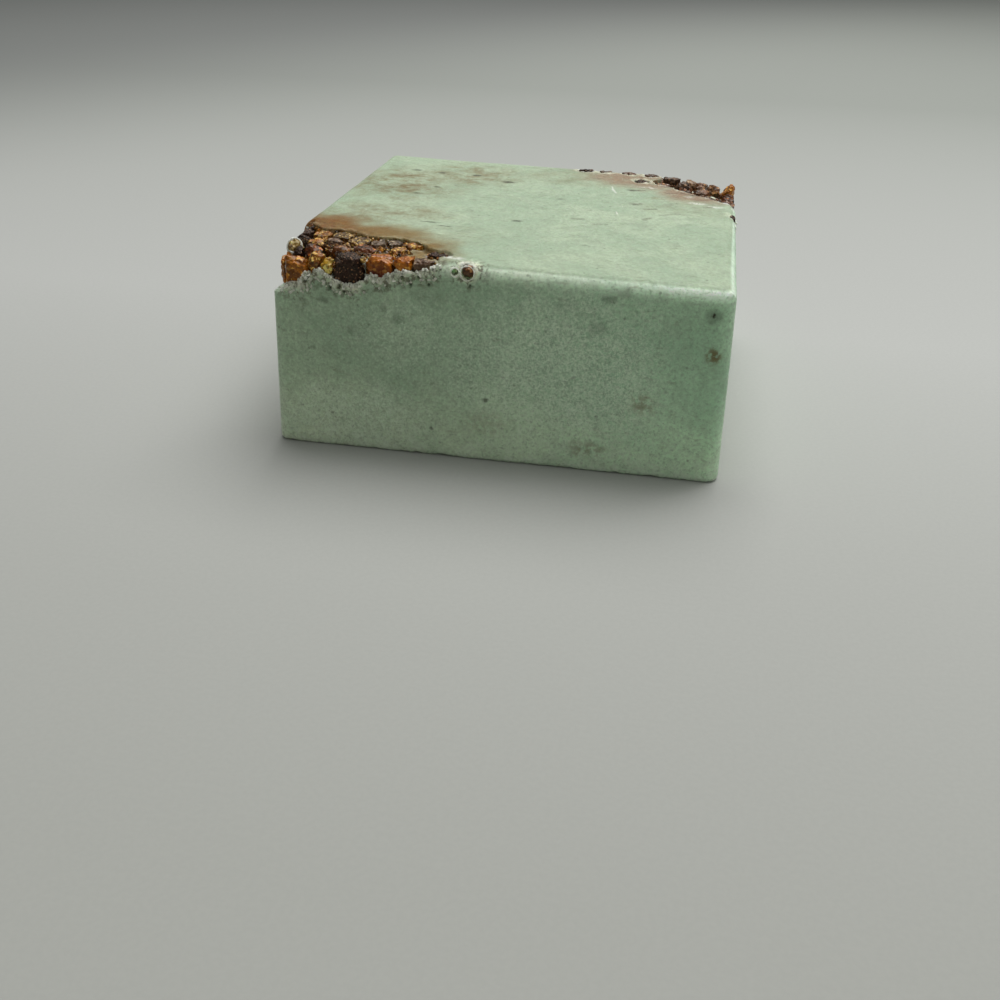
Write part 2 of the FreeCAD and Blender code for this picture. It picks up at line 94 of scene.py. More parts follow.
def hashed(cells: np.ndarray, seed: int) -> np.ndarray:
    """Give each lattice cell a fixed value from 0 to 1.

    Args:
        cells: Whole lattice coordinates, one row a point.
        seed: Which of many such patterns.

    Returns:
        One value for each row.
    """
    key = (cells[:, 0] * 73856093) ^ (cells[:, 1] * 19349663) ^ (cells[:, 2] * 83492791) ^ (seed * 2654435761)
    key = (key ^ (key >> 15)) * 1274126177
    key = (key ^ (key >> 13)) * 2246822519
    return ((key ^ (key >> 16)) & 0xFFFFF) / 0xFFFFF


def rolling(points: np.ndarray, cell: float, seed: int) -> np.ndarray:
    """Smooth noise from -1 to 1 with hills about as wide as cell.

    Args:
        points: Places in millimetres, one row each.
        cell: Width of a hill in millimetres.
        seed: Which of many such patterns.

    Returns:
        One value for each point.
    """
    scaled = points / cell
    base = np.floor(scaled).astype(np.int64)
    part = scaled - base
    ease = part * part * (3 - 2 * part)
    total = np.zeros(len(points))
    for corner in range(8):
        step = np.array([corner & 1, corner >> 1 & 1, corner >> 2 & 1])
        weight = np.prod(np.where(step, ease, 1 - ease), axis=1)
        total += weight * hashed(base + step, seed)
    return total * 2 - 1


def layered(points: np.ndarray, cell: float, seed: int, layers: int = 3) -> np.ndarray:
    """Noise of several sizes on top of each other, each half as wide and half as high as the last."""
    total = np.zeros(len(points))
    for layer in range(layers):
        total += rolling(points, cell / 2 ** layer, seed + layer) / 2 ** layer
    return total / (2 - 0.5 ** (layers - 1))


def chipped(points: np.ndarray, cell: float, seed: int) -> np.ndarray:
    """Distance to the nearest of scattered seeds, in cells: low in the middle of a chip, high along its rim.

    Args:
        points: Places in millimetres, one row each.
        cell: Mean distance between two seeds in millimetres.
        seed: Which of many such patterns.

    Returns:
        One distance for each point, mostly between 0 and 1.
    """
    scaled = points / cell
    base = np.floor(scaled).astype(np.int64)
    nearest = np.full(len(points), 9.0)
    for x in (-1, 0, 1):
        for y in (-1, 0, 1):
            for z in (-1, 0, 1):
                here = base + np.array([x, y, z])
                jitter = np.stack([hashed(here, seed + axis) for axis in range(3)], axis=1)
                nearest = np.minimum(nearest, np.linalg.norm(here + jitter - scaled, axis=1))
    return nearest


def smooth_step(value: np.ndarray, low: float, high: float) -> np.ndarray:
    """Rise softly from 0 at low to 1 at high, or fall where low is the larger."""
    share = np.clip((value - low) / (high - low), 0, 1)
    return share * share * (3 - 2 * share)


def points_of(mesh: bpy.types.Mesh) -> np.ndarray:
    """Read a mesh's vertices, one row each."""
    flat = np.empty(len(mesh.vertices) * 3, np.float32)
    mesh.vertices.foreach_get("co", flat)
    return flat.reshape(-1, 3).astype(float)


def normals_of(mesh: bpy.types.Mesh) -> np.ndarray:
    """Read the outward direction at each vertex, one row each."""
    flat = np.empty(len(mesh.vertices) * 3, np.float32)
    mesh.vertices.foreach_get("normal", flat)
    return flat.reshape(-1, 3).astype(float)


def set_points(mesh: bpy.types.Mesh, points: np.ndarray) -> None:
    """Write a mesh's vertices back."""
    mesh.vertices.foreach_set("co", points.astype(np.float32).ravel())
    mesh.update()


def select_only(piece: bpy.types.Object) -> None:
    """Deselect everything and make one object the selected and active one."""
    bpy.ops.object.select_all(action="DESELECT")
    piece.select_set(True)
    bpy.context.view_layer.objects.active = piece


def apply_modifiers(piece: bpy.types.Object) -> None:
    """Apply every modifier of a piece, in order."""
    select_only(piece)
    for modifier in list(piece.modifiers):
        bpy.ops.object.modifier_apply(modifier=modifier.name)


def remesh(piece: bpy.types.Object, size: float) -> None:
    """Give a piece an even mesh with faces about size millimetres wide, after its other modifiers."""
    grid = piece.modifiers.new("Grid", "REMESH")
    grid.mode = "VOXEL"
    grid.voxel_size = size
    apply_modifiers(piece)


def working_copy(node: str, name: str) -> bpy.types.Object:
    """Copy a CAD node to a new piece in millimetres, with its loose triangles joined up.

    Args:
        node: Name of the CAD node.
        name: Name of the new piece.

    Returns:
        The piece, linked to the scene.
    """
    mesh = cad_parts[node].data.copy()
    mesh.name = name
    mesh.materials.clear()
    mesh.transform(Matrix.Scale(1 / MM, 4))
    shape = bmesh.new()
    shape.from_mesh(mesh)
    bmesh.ops.remove_doubles(shape, verts=shape.verts, dist=WELD)
    shape.to_mesh(mesh)
    shape.free()
    piece = bpy.data.objects.new(name, mesh)
    bpy.context.scene.collection.objects.link(piece)
    return piece


def settle(piece: bpy.types.Object, slot: Slot, material: bpy.types.Material, *nodes: str) -> None:
    """Bring a finished piece from millimetres to metres, dress it and set it on the bar.

    Args:
        piece: The piece, worked in millimetres around the bar's own origin.
        slot: The record's slot that its finish belongs to; not used.
        material: Its material.
        nodes: The CAD nodes that it stands for.
    """
    piece.data.transform(Matrix.Scale(MM, 4))
    piece.data.materials.clear()
    piece.data.materials.append(material)
    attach(piece, BODY)
    if nodes:
        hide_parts(*nodes)
    log.info("%s: %d faces", piece.name, len(piece.data.polygons))


# The bar's own form


@dataclass(frozen=True)
class BarForm:
    """Main sizes of the moulded block, in millimetres, and the slight twist of its top."""

    half_side: float = 33.0
    height_left: float = 29.7
    height_right: float = 28.3
    slope: float = 1.2
    rise: float = 0.45
    rise_reach: float = 62.0

    def top_at(self, x: np.ndarray) -> np.ndarray:
        """Height of the top face over x."""
        share = (x + self.half_side) / (2 * self.half_side)
        return self.height_left + (self.height_right - self.height_left) * share

    def wall_at(self, z: np.ndarray) -> np.ndarray:
        """Distance of the four sloping walls from the middle at height z."""
        return self.half_side - math.tan(math.radians(self.slope)) * z

    def twist_top(self, points: np.ndarray) -> np.ndarray:
        """Height of the twisted top over each point."""
        level = points.copy()
        level[:, 2] = self.top_at(points[:, 0])
        return self.twist(level)[:, 2]

    def twist(self, points: np.ndarray) -> np.ndarray:
        """Raise the top towards the far right corner, as the real bar's is, and leave the base flat."""
        corner = np.array([self.half_side, self.half_side])
        away = np.linalg.norm(points[:, :2] - corner, axis=1)
        lift = self.rise * smooth_step(away, self.rise_reach, 0.0)
        raised = points.copy()
        raised[:, 2] += lift * np.clip(points[:, 2] / self.height_right, 0, 1)
        return raised


FORM = BarForm()


# Materials


class NodeTable:
    """One material and short ways to add and join its nodes."""

    def __init__(self, name: str) -> None:
        """Start an empty material with its surface shader and object coordinates."""
        self.material = bpy.data.materials.new(name)
        self.material.use_nodes = True
        self.tree = self.material.node_tree
        self.tree.nodes.clear()
        self.output = self.add("ShaderNodeOutputMaterial")
        self.surface = self.add("ShaderNodeBsdfPrincipled")
        self.join(self.surface.outputs["BSDF"], self.output.inputs["Surface"])
        self.place = self.add("ShaderNodeTexCoord").outputs["Object"]

    def add(self, kind: str, **settings: object) -> bpy.types.Node:
        """Add a node and set its properties."""
        node = self.tree.nodes.new(kind)
        for name, value in settings.items():
            setattr(node, name, value)
        return node

    def join(self, source: bpy.types.NodeSocket, target: bpy.types.NodeSocket) -> None:
        """Link two sockets."""
        self.tree.links.new(source, target)

    def feed(self, socket: bpy.types.NodeSocket, value: object) -> None:
        """Put a value, a colour or another node's output into a socket."""
        if isinstance(value, bpy.types.NodeSocket):
            self.join(value, socket)
        else:
            socket.default_value = value

    def maths(self, operation: str, first: object, second: object = 0.0, clamp: bool = False
              ) -> bpy.types.NodeSocket:
        """Join two numbers by an arithmetic operation."""
        node = self.add("ShaderNodeMath", operation=operation, use_clamp=clamp)
        self.feed(node.inputs[0], first)
        self.feed(node.inputs[1], second)
        return node.outputs[0]

    def times(self, *factors: object) -> bpy.types.NodeSocket:
        """Multiply several numbers, from the first to the last."""
        product = factors[0]
        for factor in factors[1:]:
            product = self.maths("MULTIPLY", product, factor)
        return product

    def most(self, first: object, second: object) -> bpy.types.NodeSocket:
        """Give the larger of two numbers."""
        return self.maths("MAXIMUM", first, second)

    def vector(self, operation: str, first: object, second: object = (0.0, 0.0, 0.0)) -> bpy.types.Node:
        """Join two vectors by an operation and give its node."""
        node = self.add("ShaderNodeVectorMath", operation=operation)
        self.feed(node.inputs[0], first)
        self.feed(node.inputs[1], second)
        return node

    def cloud(self, size: float, detail: float = 4.0, roughness: float = 0.55, distortion: float = 0.0,
              source: object = None) -> bpy.types.NodeSocket:
        """Add soft noise.

        Args:
            size: Width of its largest hills in millimetres.
            detail: How many finer layers it has.
            roughness: How strong these are.
            distortion: How much it is stirred.
            source: Coordinates other than the object's own.

        Returns:
            Its grey value.
        """
        node = self.add("ShaderNodeTexNoise")
        self.join(source or self.place, node.inputs["Vector"])
        node.inputs["Scale"].default_value = 1 / (size * MM)
        node.inputs["Detail"].default_value = detail
        node.inputs["Roughness"].default_value = roughness
        node.inputs["Distortion"].default_value = distortion
        return node.outputs["Fac"]

    def axes(self) -> bpy.types.NodeOutputs:
        """Give the object coordinates along X, Y and Z."""
        node = self.add("ShaderNodeSeparateXYZ")
        self.join(self.place, node.inputs[0])
        return node.outputs

    def cells(self, size: float) -> tuple[bpy.types.NodeSocket, bpy.types.NodeOutputs]:
        """Add a cell pattern with cells about size millimetres wide.

        Returns:
            The distance to the middle of the cell, and three chance values that each cell has of its own.
        """
        node = self.add("ShaderNodeTexVoronoi", feature="F1")
        self.join(self.place, node.inputs["Vector"])
        node.inputs["Scale"].default_value = 1 / (size * MM)
        split = self.add("ShaderNodeSeparateColor")
        self.join(node.outputs["Color"], split.inputs[0])
        return node.outputs["Distance"], split.outputs

    def between(self, value: object, low: float, high: float, start: float = 0.0, end: float = 1.0
                ) -> bpy.types.NodeSocket:
        """Map a value softly from the range low to high onto the range start to end."""
        node = self.add("ShaderNodeMapRange", interpolation_type="SMOOTHSTEP")
        self.feed(node.inputs["Value"], value)
        for socket, number in zip(node.inputs[1:5], (low, high, start, end)):
            socket.default_value = number
        return node.outputs["Result"]

    def ramp(self, value: object, *stops: tuple[float, Colour]) -> bpy.types.NodeSocket:
        """Turn a grey value into colours."""
        node = self.add("ShaderNodeValToRGB")
        self.feed(node.inputs["Fac"], value)
        steps = node.color_ramp.elements
        while len(steps) < len(stops):
            steps.new(1.0)
        for step, (position, colour) in zip(steps, stops):
            step.position = position
            step.color = colour
        return node.outputs["Color"]

    def blend(self, share: object, under: object, over: object, kind: str = "MIX") -> bpy.types.NodeSocket:
        """Lay one colour over another by a share."""
        node = self.add("ShaderNodeMix", data_type="RGBA", blend_type=kind)
        self.feed(node.inputs["Factor"], share)
        self.feed(node.inputs[6], under)
        self.feed(node.inputs[7], over)
        return node.outputs[2]

    def blot(self, centre: Place, reach: Place, edge: float = 0.6, source: object = None
             ) -> bpy.types.NodeSocket:
        """Give a soft round patch: 1 inside, falling to 0 at its reach.

        Args:
            centre: Its centre in millimetres.
            reach: Its half sizes in millimetres.
            edge: Share of the reach over which it fades.
            source: Coordinates other than the object's own.

        Returns:
            Its share from 0 to 1.
        """
        away = self.vector("SUBTRACT", source or self.place, tuple(value * MM for value in centre)).outputs[0]
        scaled = self.vector("DIVIDE", away, tuple(value * MM for value in reach)).outputs[0]
        return self.between(self.vector("LENGTH", scaled).outputs["Value"], 1.0, 1.0 - edge)

    def stroke(self, start: Place, end: Place, width: float) -> bpy.types.NodeSocket:
        """Give a thin soft line between two places in millimetres: 1 along it, falling to 0 at its width."""
        first, last = (Vector(place) * MM for place in (start, end))
        run = last - first
        away = self.vector("SUBTRACT", self.place, tuple(first)).outputs[0]
        along = self.vector("DOT_PRODUCT", away, tuple(run / run.length_squared)).outputs["Value"]
        foot = self.add("ShaderNodeVectorMath", operation="SCALE")
        foot.inputs[0].default_value = tuple(run)
        self.join(self.maths("MULTIPLY", along, 1.0, clamp=True), foot.inputs["Scale"])
        off = self.vector("SUBTRACT", away, foot.outputs[0]).outputs[0]
        return self.between(self.vector("LENGTH", off).outputs["Value"], width * MM, 0.0)

    def dots(self, size: float, share: float, radius: float) -> bpy.types.NodeSocket:
        """Scatter small soft dots.

        Args:
            size: Mean distance between two cells in millimetres.
            share: Share of the cells that hold a dot.
            radius: Radius of a dot, in cells.

        Returns:
            1 in a dot and 0 around it.
        """
        distance, chance = self.cells(size)
        held = self.between(chance[0], 1.0 - share, 1.0 - share * 0.7)
        return self.times(held, self.between(distance, radius, radius * 0.3))

    def threads(self, size: float, width: float, stir: float = 1.5) -> bpy.types.NodeSocket:
        """Give fine wandering lines, the level lines of a noise: 1 on a line and 0 beside it."""
        off = self.maths("ABSOLUTE", self.maths("SUBTRACT", self.cloud(size, 3.0, 0.6, stir), 0.5))
        return self.between(off, width, 0.0)

    def bump(self, height: object, depth: float, under: object = None) -> bpy.types.NodeSocket:
        """Turn a grey value into relief that is depth millimetres deep, on top of the relief under it."""
        node = self.add("ShaderNodeBump")
        node.inputs["Strength"].default_value = 1.0
        node.inputs["Distance"].default_value = depth * MM
        self.feed(node.inputs["Height"], height)
        if under is not None:
            self.join(under, node.inputs["Normal"])
        return node.outputs["Normal"]


@dataclass(frozen=True)
class Blot:
    """A soft stain in the soap: its centre and half sizes in millimetres, and how strong it is."""

    centre: Place
    reach: Place
    strength: float = 1.0


@dataclass(frozen=True)
class Line:
    """A thin soft line in the soap: its two ends and half width in millimetres, and how strong it is."""

    start: Place
    end: Place
    width: float
    strength: float = 1.0


@dataclass(frozen=True)
class SoapFinish:
    """Pale green soap: mottled, stained by the resin, with grey specks, frosty threads and a white bloom; its
    side faces carry painted light (lighter and greener sides, a lit foot and a glow under the rim) and its
    small pits painted shade.
    """

    name: str = "pale_green_soap"
    light: Colour = paint(185, 203, 172)
    deep: Colour = paint(166, 188, 158)
    grey: Colour = paint(152, 164, 140)
    earth: Colour = paint(122, 106, 70)
    brown: Colour = paint(122, 75, 6)
    tan: Colour = paint(130, 104, 54)
    dusk: Colour = paint(84, 70, 58)
    rosy: Colour = paint(150, 128, 104)
    rust: Colour = paint(116, 92, 38)
    grime: Colour = paint(120, 124, 96)
    shade: Colour = paint(128, 152, 124)
    # Dark colour of the specks and flecks, also painted as shade into the small pits.
    speck_and_pit_shade: Colour = paint(60, 60, 44)
    bloom: Colour = paint(238, 240, 230)
    roughness: float = 0.46
    crust: Colour = paint(246, 255, 222)
    soil: Colour = paint(88, 78, 56)
    frost_and_bounce_light: Colour = paint(226, 242, 216)
    # Painted light on the side faces, as multipliers: the first two make the sides lighter and greener than
    # the top, most at the right; the third lightens the foot as if lit by light bounced up from the paper;
    # the fourth paints a glow just under the top's rim.
    left_side_painted_light: Colour = (1.04, 1.1, 1.08, 1.0)
    right_side_painted_light: Colour = (1.1, 1.3, 1.26, 1.0)
    foot_painted_bounce_light: Colour = (1.4, 1.28, 1.3, 1.0)
    rim_painted_glow: Colour = (1.85, 1.55, 1.8, 1.0)
    specular: float = 0.25
    glow: float = 0.75
    glow_depth: Place = (1.7, 1.9, 1.9)
    film: tuple[Blot, ...] = (
        Blot((-29.0, -22.0, 28.0), (13.0, 12.5, 7.0)),
        Blot((-21.0, -23.5, 28.0), (13.5, 10.5, 7.0)),
        Blot((-14.6, -26.5, 28.5), (10.0, 8.0, 6.0)),
        Blot((-9.5, -28.6, 28.8), (6.0, 4.4, 5.0), 0.45),
    )
    far_film: tuple[Blot, ...] = (
        Blot((16.5, 27.5, 28.0), (15.0, 11.0, 6.0), 1.0),
        Blot((26.0, 18.5, 28.5), (9.5, 9.0, 5.0), 1.0),
        Blot((7.0, 30.5, 28.8), (7.0, 4.5, 4.0), 0.6),
    )
    murk: tuple[Blot, ...] = (
        Blot((-24.0, 10.0, 29.0), (15.0, 17.0, 3.0), 0.95),
        Blot((-14.0, 20.0, 29.0), (13.0, 12.0, 3.0), 0.85),
        Blot((-22.0, -9.0, 29.0), (15.0, 9.0, 3.0), 0.7),
        Blot((-9.0, -18.0, 29.0), (9.0, 7.0, 3.0), 0.35),
        Blot((-27.0, -13.0, 29.0), (11.0, 6.0, 3.0), 0.8),
        Blot((4.0, 24.0, 29.0), (15.0, 9.0, 3.0), 0.5),
        Blot((24.0, 8.0, 28.6), (11.0, 6.0, 3.0), 0.35),
    )
    white: tuple[Blot, ...] = (
        Blot((-11.8, -30.5, 29.0), (3.2, 1.2, 1.4), 1.0),
        Blot((-12.2, -29.9, 27.4), (4.2, 0.9, 1.5), 0.9),
        Blot((-6.6, -29.6, 29.0), (2.4, 1.0, 1.2), 0.8),
        Blot((-16.6, -26.6, 29.2), (1.2, 1.0, 1.2), 0.7),
        Blot((25.9, 12.2, 28.5), (2.0, 0.9, 1.0), 1.0),
        Blot((29.0, 10.8, 28.4), (1.7, 0.9, 1.0), 0.9),
        Blot((24.5, 15.9, 28.5), (1.2, 0.9, 1.0), 0.8),
        Blot((28.2, 16.6, 28.4), (1.6, 1.2, 1.0), 0.9),
        Blot((30.6, 14.2, 28.4), (2.0, 0.8, 1.2), 1.0),
        Blot((32.0, 12.0, 28.2), (0.8, 1.0, 1.0), 1.0),
        Blot((15.6, 20.6, 28.7), (2.6, 0.5, 1.0), 0.5),
        Blot((17.2, 20.6, 28.6), (2.2, 0.8, 1.0), 0.7),
        Blot((5.5, 30.4, 28.9), (3.4, 0.8, 1.0), 0.7),
        Blot((9.5, 29.2, 28.8), (2.4, 0.7, 1.0), 0.6),
    )
    flecks: tuple[Blot, ...] = (
        Blot((-24.3, 20.4, 29.4), (1.3, 1.0, 1.0), 0.65),
        Blot((-19.4, 19.8, 29.4), (0.9, 0.9, 1.0), 0.65),
        Blot((-13.1, 19.8, 29.3), (1.4, 0.9, 1.0), 0.75),
        Blot((-18.0, 9.3, 29.4), (0.9, 0.8, 1.0), 0.65),
        Blot((-20.2, 4.1, 29.4), (1.1, 0.7, 1.0), 0.6),
        Blot((-7.0, 16.6, 29.2), (1.6, 1.2, 1.0), 0.85),
        Blot((-1.3, -7.6, 29.0), (1.1, 0.9, 1.0), 0.75),
        Blot((-13.9, -12.7, 29.3), (2.2, 0.5, 1.0), 0.65),
        Blot((-11.2, -14.1, 29.2), (1.6, 0.5, 1.0), 0.55),
        Blot((14.6, 17.8, 28.7), (1.6, 0.9, 1.0), 0.5),
        Blot((16.0, 8.3, 28.7), (1.3, 0.8, 1.0), 0.5),
        Blot((3.4, 7.9, 28.9), (1.1, 0.8, 1.0), 0.45),
        Blot((10.5, -17.8, 28.8), (1.0, 0.6, 1.0), 0.3),
        Blot((32.4, -32.2, 27.9), (0.6, 0.8, 0.35), 0.8),
        Blot((29.7, -32.5, 24.8), (0.55, 1.2, 0.6), 1.0),
        Blot((29.7, -32.5, 24.7), (1.8, 1.2, 1.5), 0.4),
        Blot((-9.0, -32.9, 4.4), (0.5, 1.2, 0.5), 0.6),
        Blot((-1.1, -32.8, 9.7), (0.5, 1.2, 0.5), 0.7),
        Blot((15.7, -32.5, 25.9), (1.4, 1.2, 0.9), 0.4),
        Blot((17.7, -32.4, 26.9), (1.6, 1.2, 1.1), 0.25),
        Blot((14.4, -32.6, 21.8), (1.8, 1.2, 1.3), 0.25),
        Blot((-14.1, -32.5, 20.8), (1.2, 1.2, 1.3), 0.3),
        Blot((-15.8, -32.5, 22.0), (0.8, 1.2, 0.9), 0.3),
        Blot((-24.6, -32.4, 22.6), (1.3, 1.2, 0.7), 0.45),
        Blot((-23.0, -32.4, 23.6), (0.9, 1.2, 0.8), 0.35),
        Blot((-20.8, -32.5, 18.4), (0.9, 1.2, 1.0), 0.25),
        Blot((-26.5, -32.6, 15.4), (0.5, 1.2, 0.5), 0.4),
        Blot((11.2, -32.7, 14.2), (0.5, 1.2, 0.4), 0.4),
    )
    rusty: tuple[Blot, ...] = (
        Blot((-30.6, -27.6, 28.4), (2.6, 2.6, 2.6), 0.6),
        Blot((30.3, -32.6, 19.2), (1.6, 1.2, 1.7), 0.8),
        Blot((21.3, -32.7, 11.2), (2.8, 1.2, 2.0), 0.45),
        Blot((14.0, -32.9, 3.4), (4.2, 1.2, 1.8), 0.4),
        Blot((-1.0, -32.9, 6.0), (5.0, 1.2, 3.0), 0.2),
        Blot((18.8, 13.6, 28.7), (2.4, 1.6, 1.0), 0.4),
    )
    pits: tuple[Blot, ...] = (
        Blot((-23.7, -32.6, 24.5), (0.34, 1.3, 0.6), 0.95),
        Blot((-22.4, -32.6, 24.6), (0.3, 1.3, 0.42), 0.95),
        Blot((-21.7, -32.6, 23.9), (0.24, 1.3, 0.3), 0.8),
        Blot((-13.2, -32.6, 26.6), (0.34, 1.3, 0.4), 0.95),
        Blot((-10.9, -32.6, 26.8), (0.3, 1.3, 0.36), 0.9),
        Blot((-12.0, -32.6, 25.7), (0.26, 1.3, 0.3), 0.7),
        Blot((-16.9, -32.6, 25.6), (0.28, 1.3, 0.26), 0.7),
        Blot((-27.3, -32.6, 25.0), (0.26, 1.3, 0.34), 0.8),
        Blot((-9.4, -32.6, 25.9), (0.26, 1.3, 0.26), 0.7),
        Blot((-3.6, -32.6, 26.2), (0.24, 1.3, 0.24), 0.6),
    )
    streaks: tuple[Line, ...] = (
        Line((14.5, 17.5, 28.7), (16.6, 18.3, 28.6), 0.7, 0.8),
        Line((19.7, 22.2, 28.6), (22.1, 22.2, 28.5), 0.9, 0.9),
        Line((20.6, 17.5, 28.6), (23.0, 18.4, 28.5), 0.6, 0.9),
        Line((23.0, 18.4, 28.5), (25.1, 17.4, 28.5), 0.7, 1.0),
        Line((25.1, 17.4, 28.5), (26.8, 17.6, 28.4), 0.9, 1.0),
        Line((25.4, 13.7, 28.5), (28.3, 15.6, 28.4), 0.6, 0.7),
        Line((13.6, 30.1, 28.7), (14.7, 30.6, 28.7), 0.8, 0.8),
        Line((27.1, 10.1, 28.4), (28.3, 10.5, 28.4), 0.7, 0.6),
        Line((20.3, 2.8, 28.6), (23.2, 4.6, 28.5), 0.6, 0.4),
        Line((17.9, -0.7, 28.6), (18.7, 0.7, 28.6), 0.7, 0.45),
        Line((17.6, 5.8, 28.6), (19.2, 6.4, 28.6), 0.7, 0.45),
        Line((6.8, -3.5, 28.9), (8.5, -3.3, 28.8), 0.8, 0.4),
        Line((10.8, -5.7, 28.8), (12.3, -5.2, 28.7), 0.7, 0.4),
        Line((15.2, 8.6, 28.7), (16.6, 9.1, 28.6), 0.8, 0.5),
    )
    frosty: tuple[Blot, ...] = (
        Blot((10.0, -33.0, 15.0), (25.0, 4.0, 18.0)),
        Blot((-20.0, -33.0, 5.0), (18.0, 4.0, 8.0), 0.8),
        Blot((-12.0, -33.0, 18.0), (14.0, 4.0, 8.0), 0.45),
    )
    scratches: tuple[Line, ...] = (
        Line((11.0, 19.4, 28.9), (11.3, 17.4, 28.9), 0.28),
        Line((11.3, 17.4, 28.9), (12.1, 14.9, 28.8), 0.38),
        Line((12.9, 10.2, 28.8), (13.1, 6.4, 28.8), 0.14),
        Line((13.8, 9.6, 28.8), (13.9, 6.0, 28.8), 0.14),
        Line((13.2, 2.8, 28.8), (13.5, 1.4, 28.8), 0.22),
    )

    def stained(self, table: NodeTable, blots: tuple[Blot, ...], source: object, edge: float = 0.75
                ) -> bpy.types.NodeSocket:
        """Join several blots into one share, the strongest at each place."""
        total = None
        for blot in blots:
            share = table.times(table.blot(blot.centre, blot.reach, edge, source), blot.strength)
            total = share if total is None else table.most(total, share)
        return total

    def stirred(self, table: NodeTable, size: float, amount: float) -> bpy.types.NodeSocket:
        """Give coordinates that wander by amount millimetres, for ragged outlines."""
        node = table.add("ShaderNodeTexNoise")
        table.join(table.place, node.inputs["Vector"])
        node.inputs["Scale"].default_value = 1 / (size * MM)
        node.inputs["Detail"].default_value = 3.0
        off = table.vector("SUBTRACT", node.outputs["Color"], (0.5, 0.5, 0.5)).outputs[0]
        scaled = table.vector("MULTIPLY", off, (2 * amount * MM,) * 3).outputs[0]
        return table.vector("ADD", table.place, scaled).outputs[0]

    def drawn_out(self, table: NodeTable) -> bpy.types.NodeSocket:
        """Give coordinates that draw a pattern out along the front face."""
        node = table.add("ShaderNodeMapping")
        table.join(table.place, node.inputs["Vector"])
        node.inputs["Rotation"].default_value = (0.0, 0.0, 0.12)
        node.inputs["Scale"].default_value = (0.4, 1.0, 1.0)
        return node.outputs["Vector"]

    def body(self, table: NodeTable) -> bpy.types.NodeSocket:
        """Give the soap's own colour: mottled green with grey veils and small dark dots."""
        mottle = table.between(table.cloud(11.0, 6.0, 0.62, 0.6), 0.34, 0.66)
        colour = table.blend(mottle, self.deep, self.light)
        veil = table.between(table.cloud(2.6, 5.0, 0.7, 0.8), 0.46, 0.72, 0.0, 0.6)
        colour = table.blend(veil, colour, self.grey)
        wisp = table.between(table.cloud(0.9, 3.0, 0.6, 0.4, self.drawn_out(table)), 0.58, 0.74, 0.0, 0.5)
        colour = table.blend(wisp, colour, self.grime)
        grit = table.between(table.cloud(0.5, 3.0, 0.6), 0.36, 0.66, 0.0, 0.5)
        colour = table.blend(grit, colour, self.grey)
        dots = table.times(table.dots(1.5, 0.22, 0.2), 0.5)
        return table.blend(dots, colour, self.speck_and_pit_shade)

    def frosted_sides_and_painted_light(self, table: NodeTable, colour: object, across: object, height: object, rim_glow_band: object
                ) -> bpy.types.NodeSocket:
        """Give the side faces their frosty skin and their painted light: lighter, greener sides, a paler foot
        with a pale patchy band along it, and a glow under the rim.
        """
        # Painted light: the side faces are lightened and greened, more towards the right.
        side_painted_light = table.blend(table.between(across, -24.0 * MM, 33.0 * MM), self.left_side_painted_light, self.right_side_painted_light)
        colour = table.blend(1.0, colour, side_painted_light, "MULTIPLY")
        # Painted light: the foot is lightened as if by light bounced up from the paper.
        foot = table.between(height, 15.0 * MM, 1.0 * MM)
        colour = table.blend(foot, colour, table.blend(1.0, colour, self.foot_painted_bounce_light, "MULTIPLY"))
        # Painted glow: a lighter band on the sides just under the top's rim, for light coming through the
        # soap's edge.
        colour = table.blend(rim_glow_band, colour, table.blend(1.0, colour, self.rim_painted_glow, "MULTIPLY"))
        clear = table.between(across, 29.0 * MM, 19.0 * MM, 0.3, 1.0)
        patch = self.frost_share(table, clear)
        threads = table.times(table.threads(0.7, 0.07), patch, 0.8)
        colour = table.blend(threads, colour, self.frost_and_bounce_light)
        freckles = table.between(table.cloud(0.38, 3.0, 0.6), 0.44, 0.68, 0.0, 0.75)
        held = table.times(clear, table.maths("ADD", 0.35, table.times(patch, 0.65)))
        colour = table.blend(table.times(freckles, held), colour, self.frost_and_bounce_light)
        shades = table.between(table.cloud(0.4, 2.0, 0.5, 0.3), 0.46, 0.3, 0.0, 0.35)
        colour = table.blend(shades, colour, self.shade)
        # Painted light: a patchy pale band along the foot, in the frosty colour, for light bounced up from
        # the paper.
        low = table.between(height, 6.0 * MM, 0.0, 0.0, 0.5)
        frost_and_bounce_light = table.times(low, table.between(table.cloud(1.3, 5.0, 0.7), 0.42, 0.62))
        return table.blend(frost_and_bounce_light, colour, self.frost_and_bounce_light)

    def frost_share(self, table: NodeTable, clear: object) -> bpy.types.NodeSocket:
        """Say where the sides are frosty: in set places on the front face, in chance ones elsewhere."""
        elsewhere = table.between(table.axes()["Y"], -32.2 * MM, -31.6 * MM)
        chance = table.times(table.between(table.cloud(13.0, 4.0, 0.6), 0.38, 0.6), elsewhere)
        front = self.stained(table, self.frosty, self.stirred(table, 5.0, 3.0))
        return table.times(table.most(chance, front), clear)

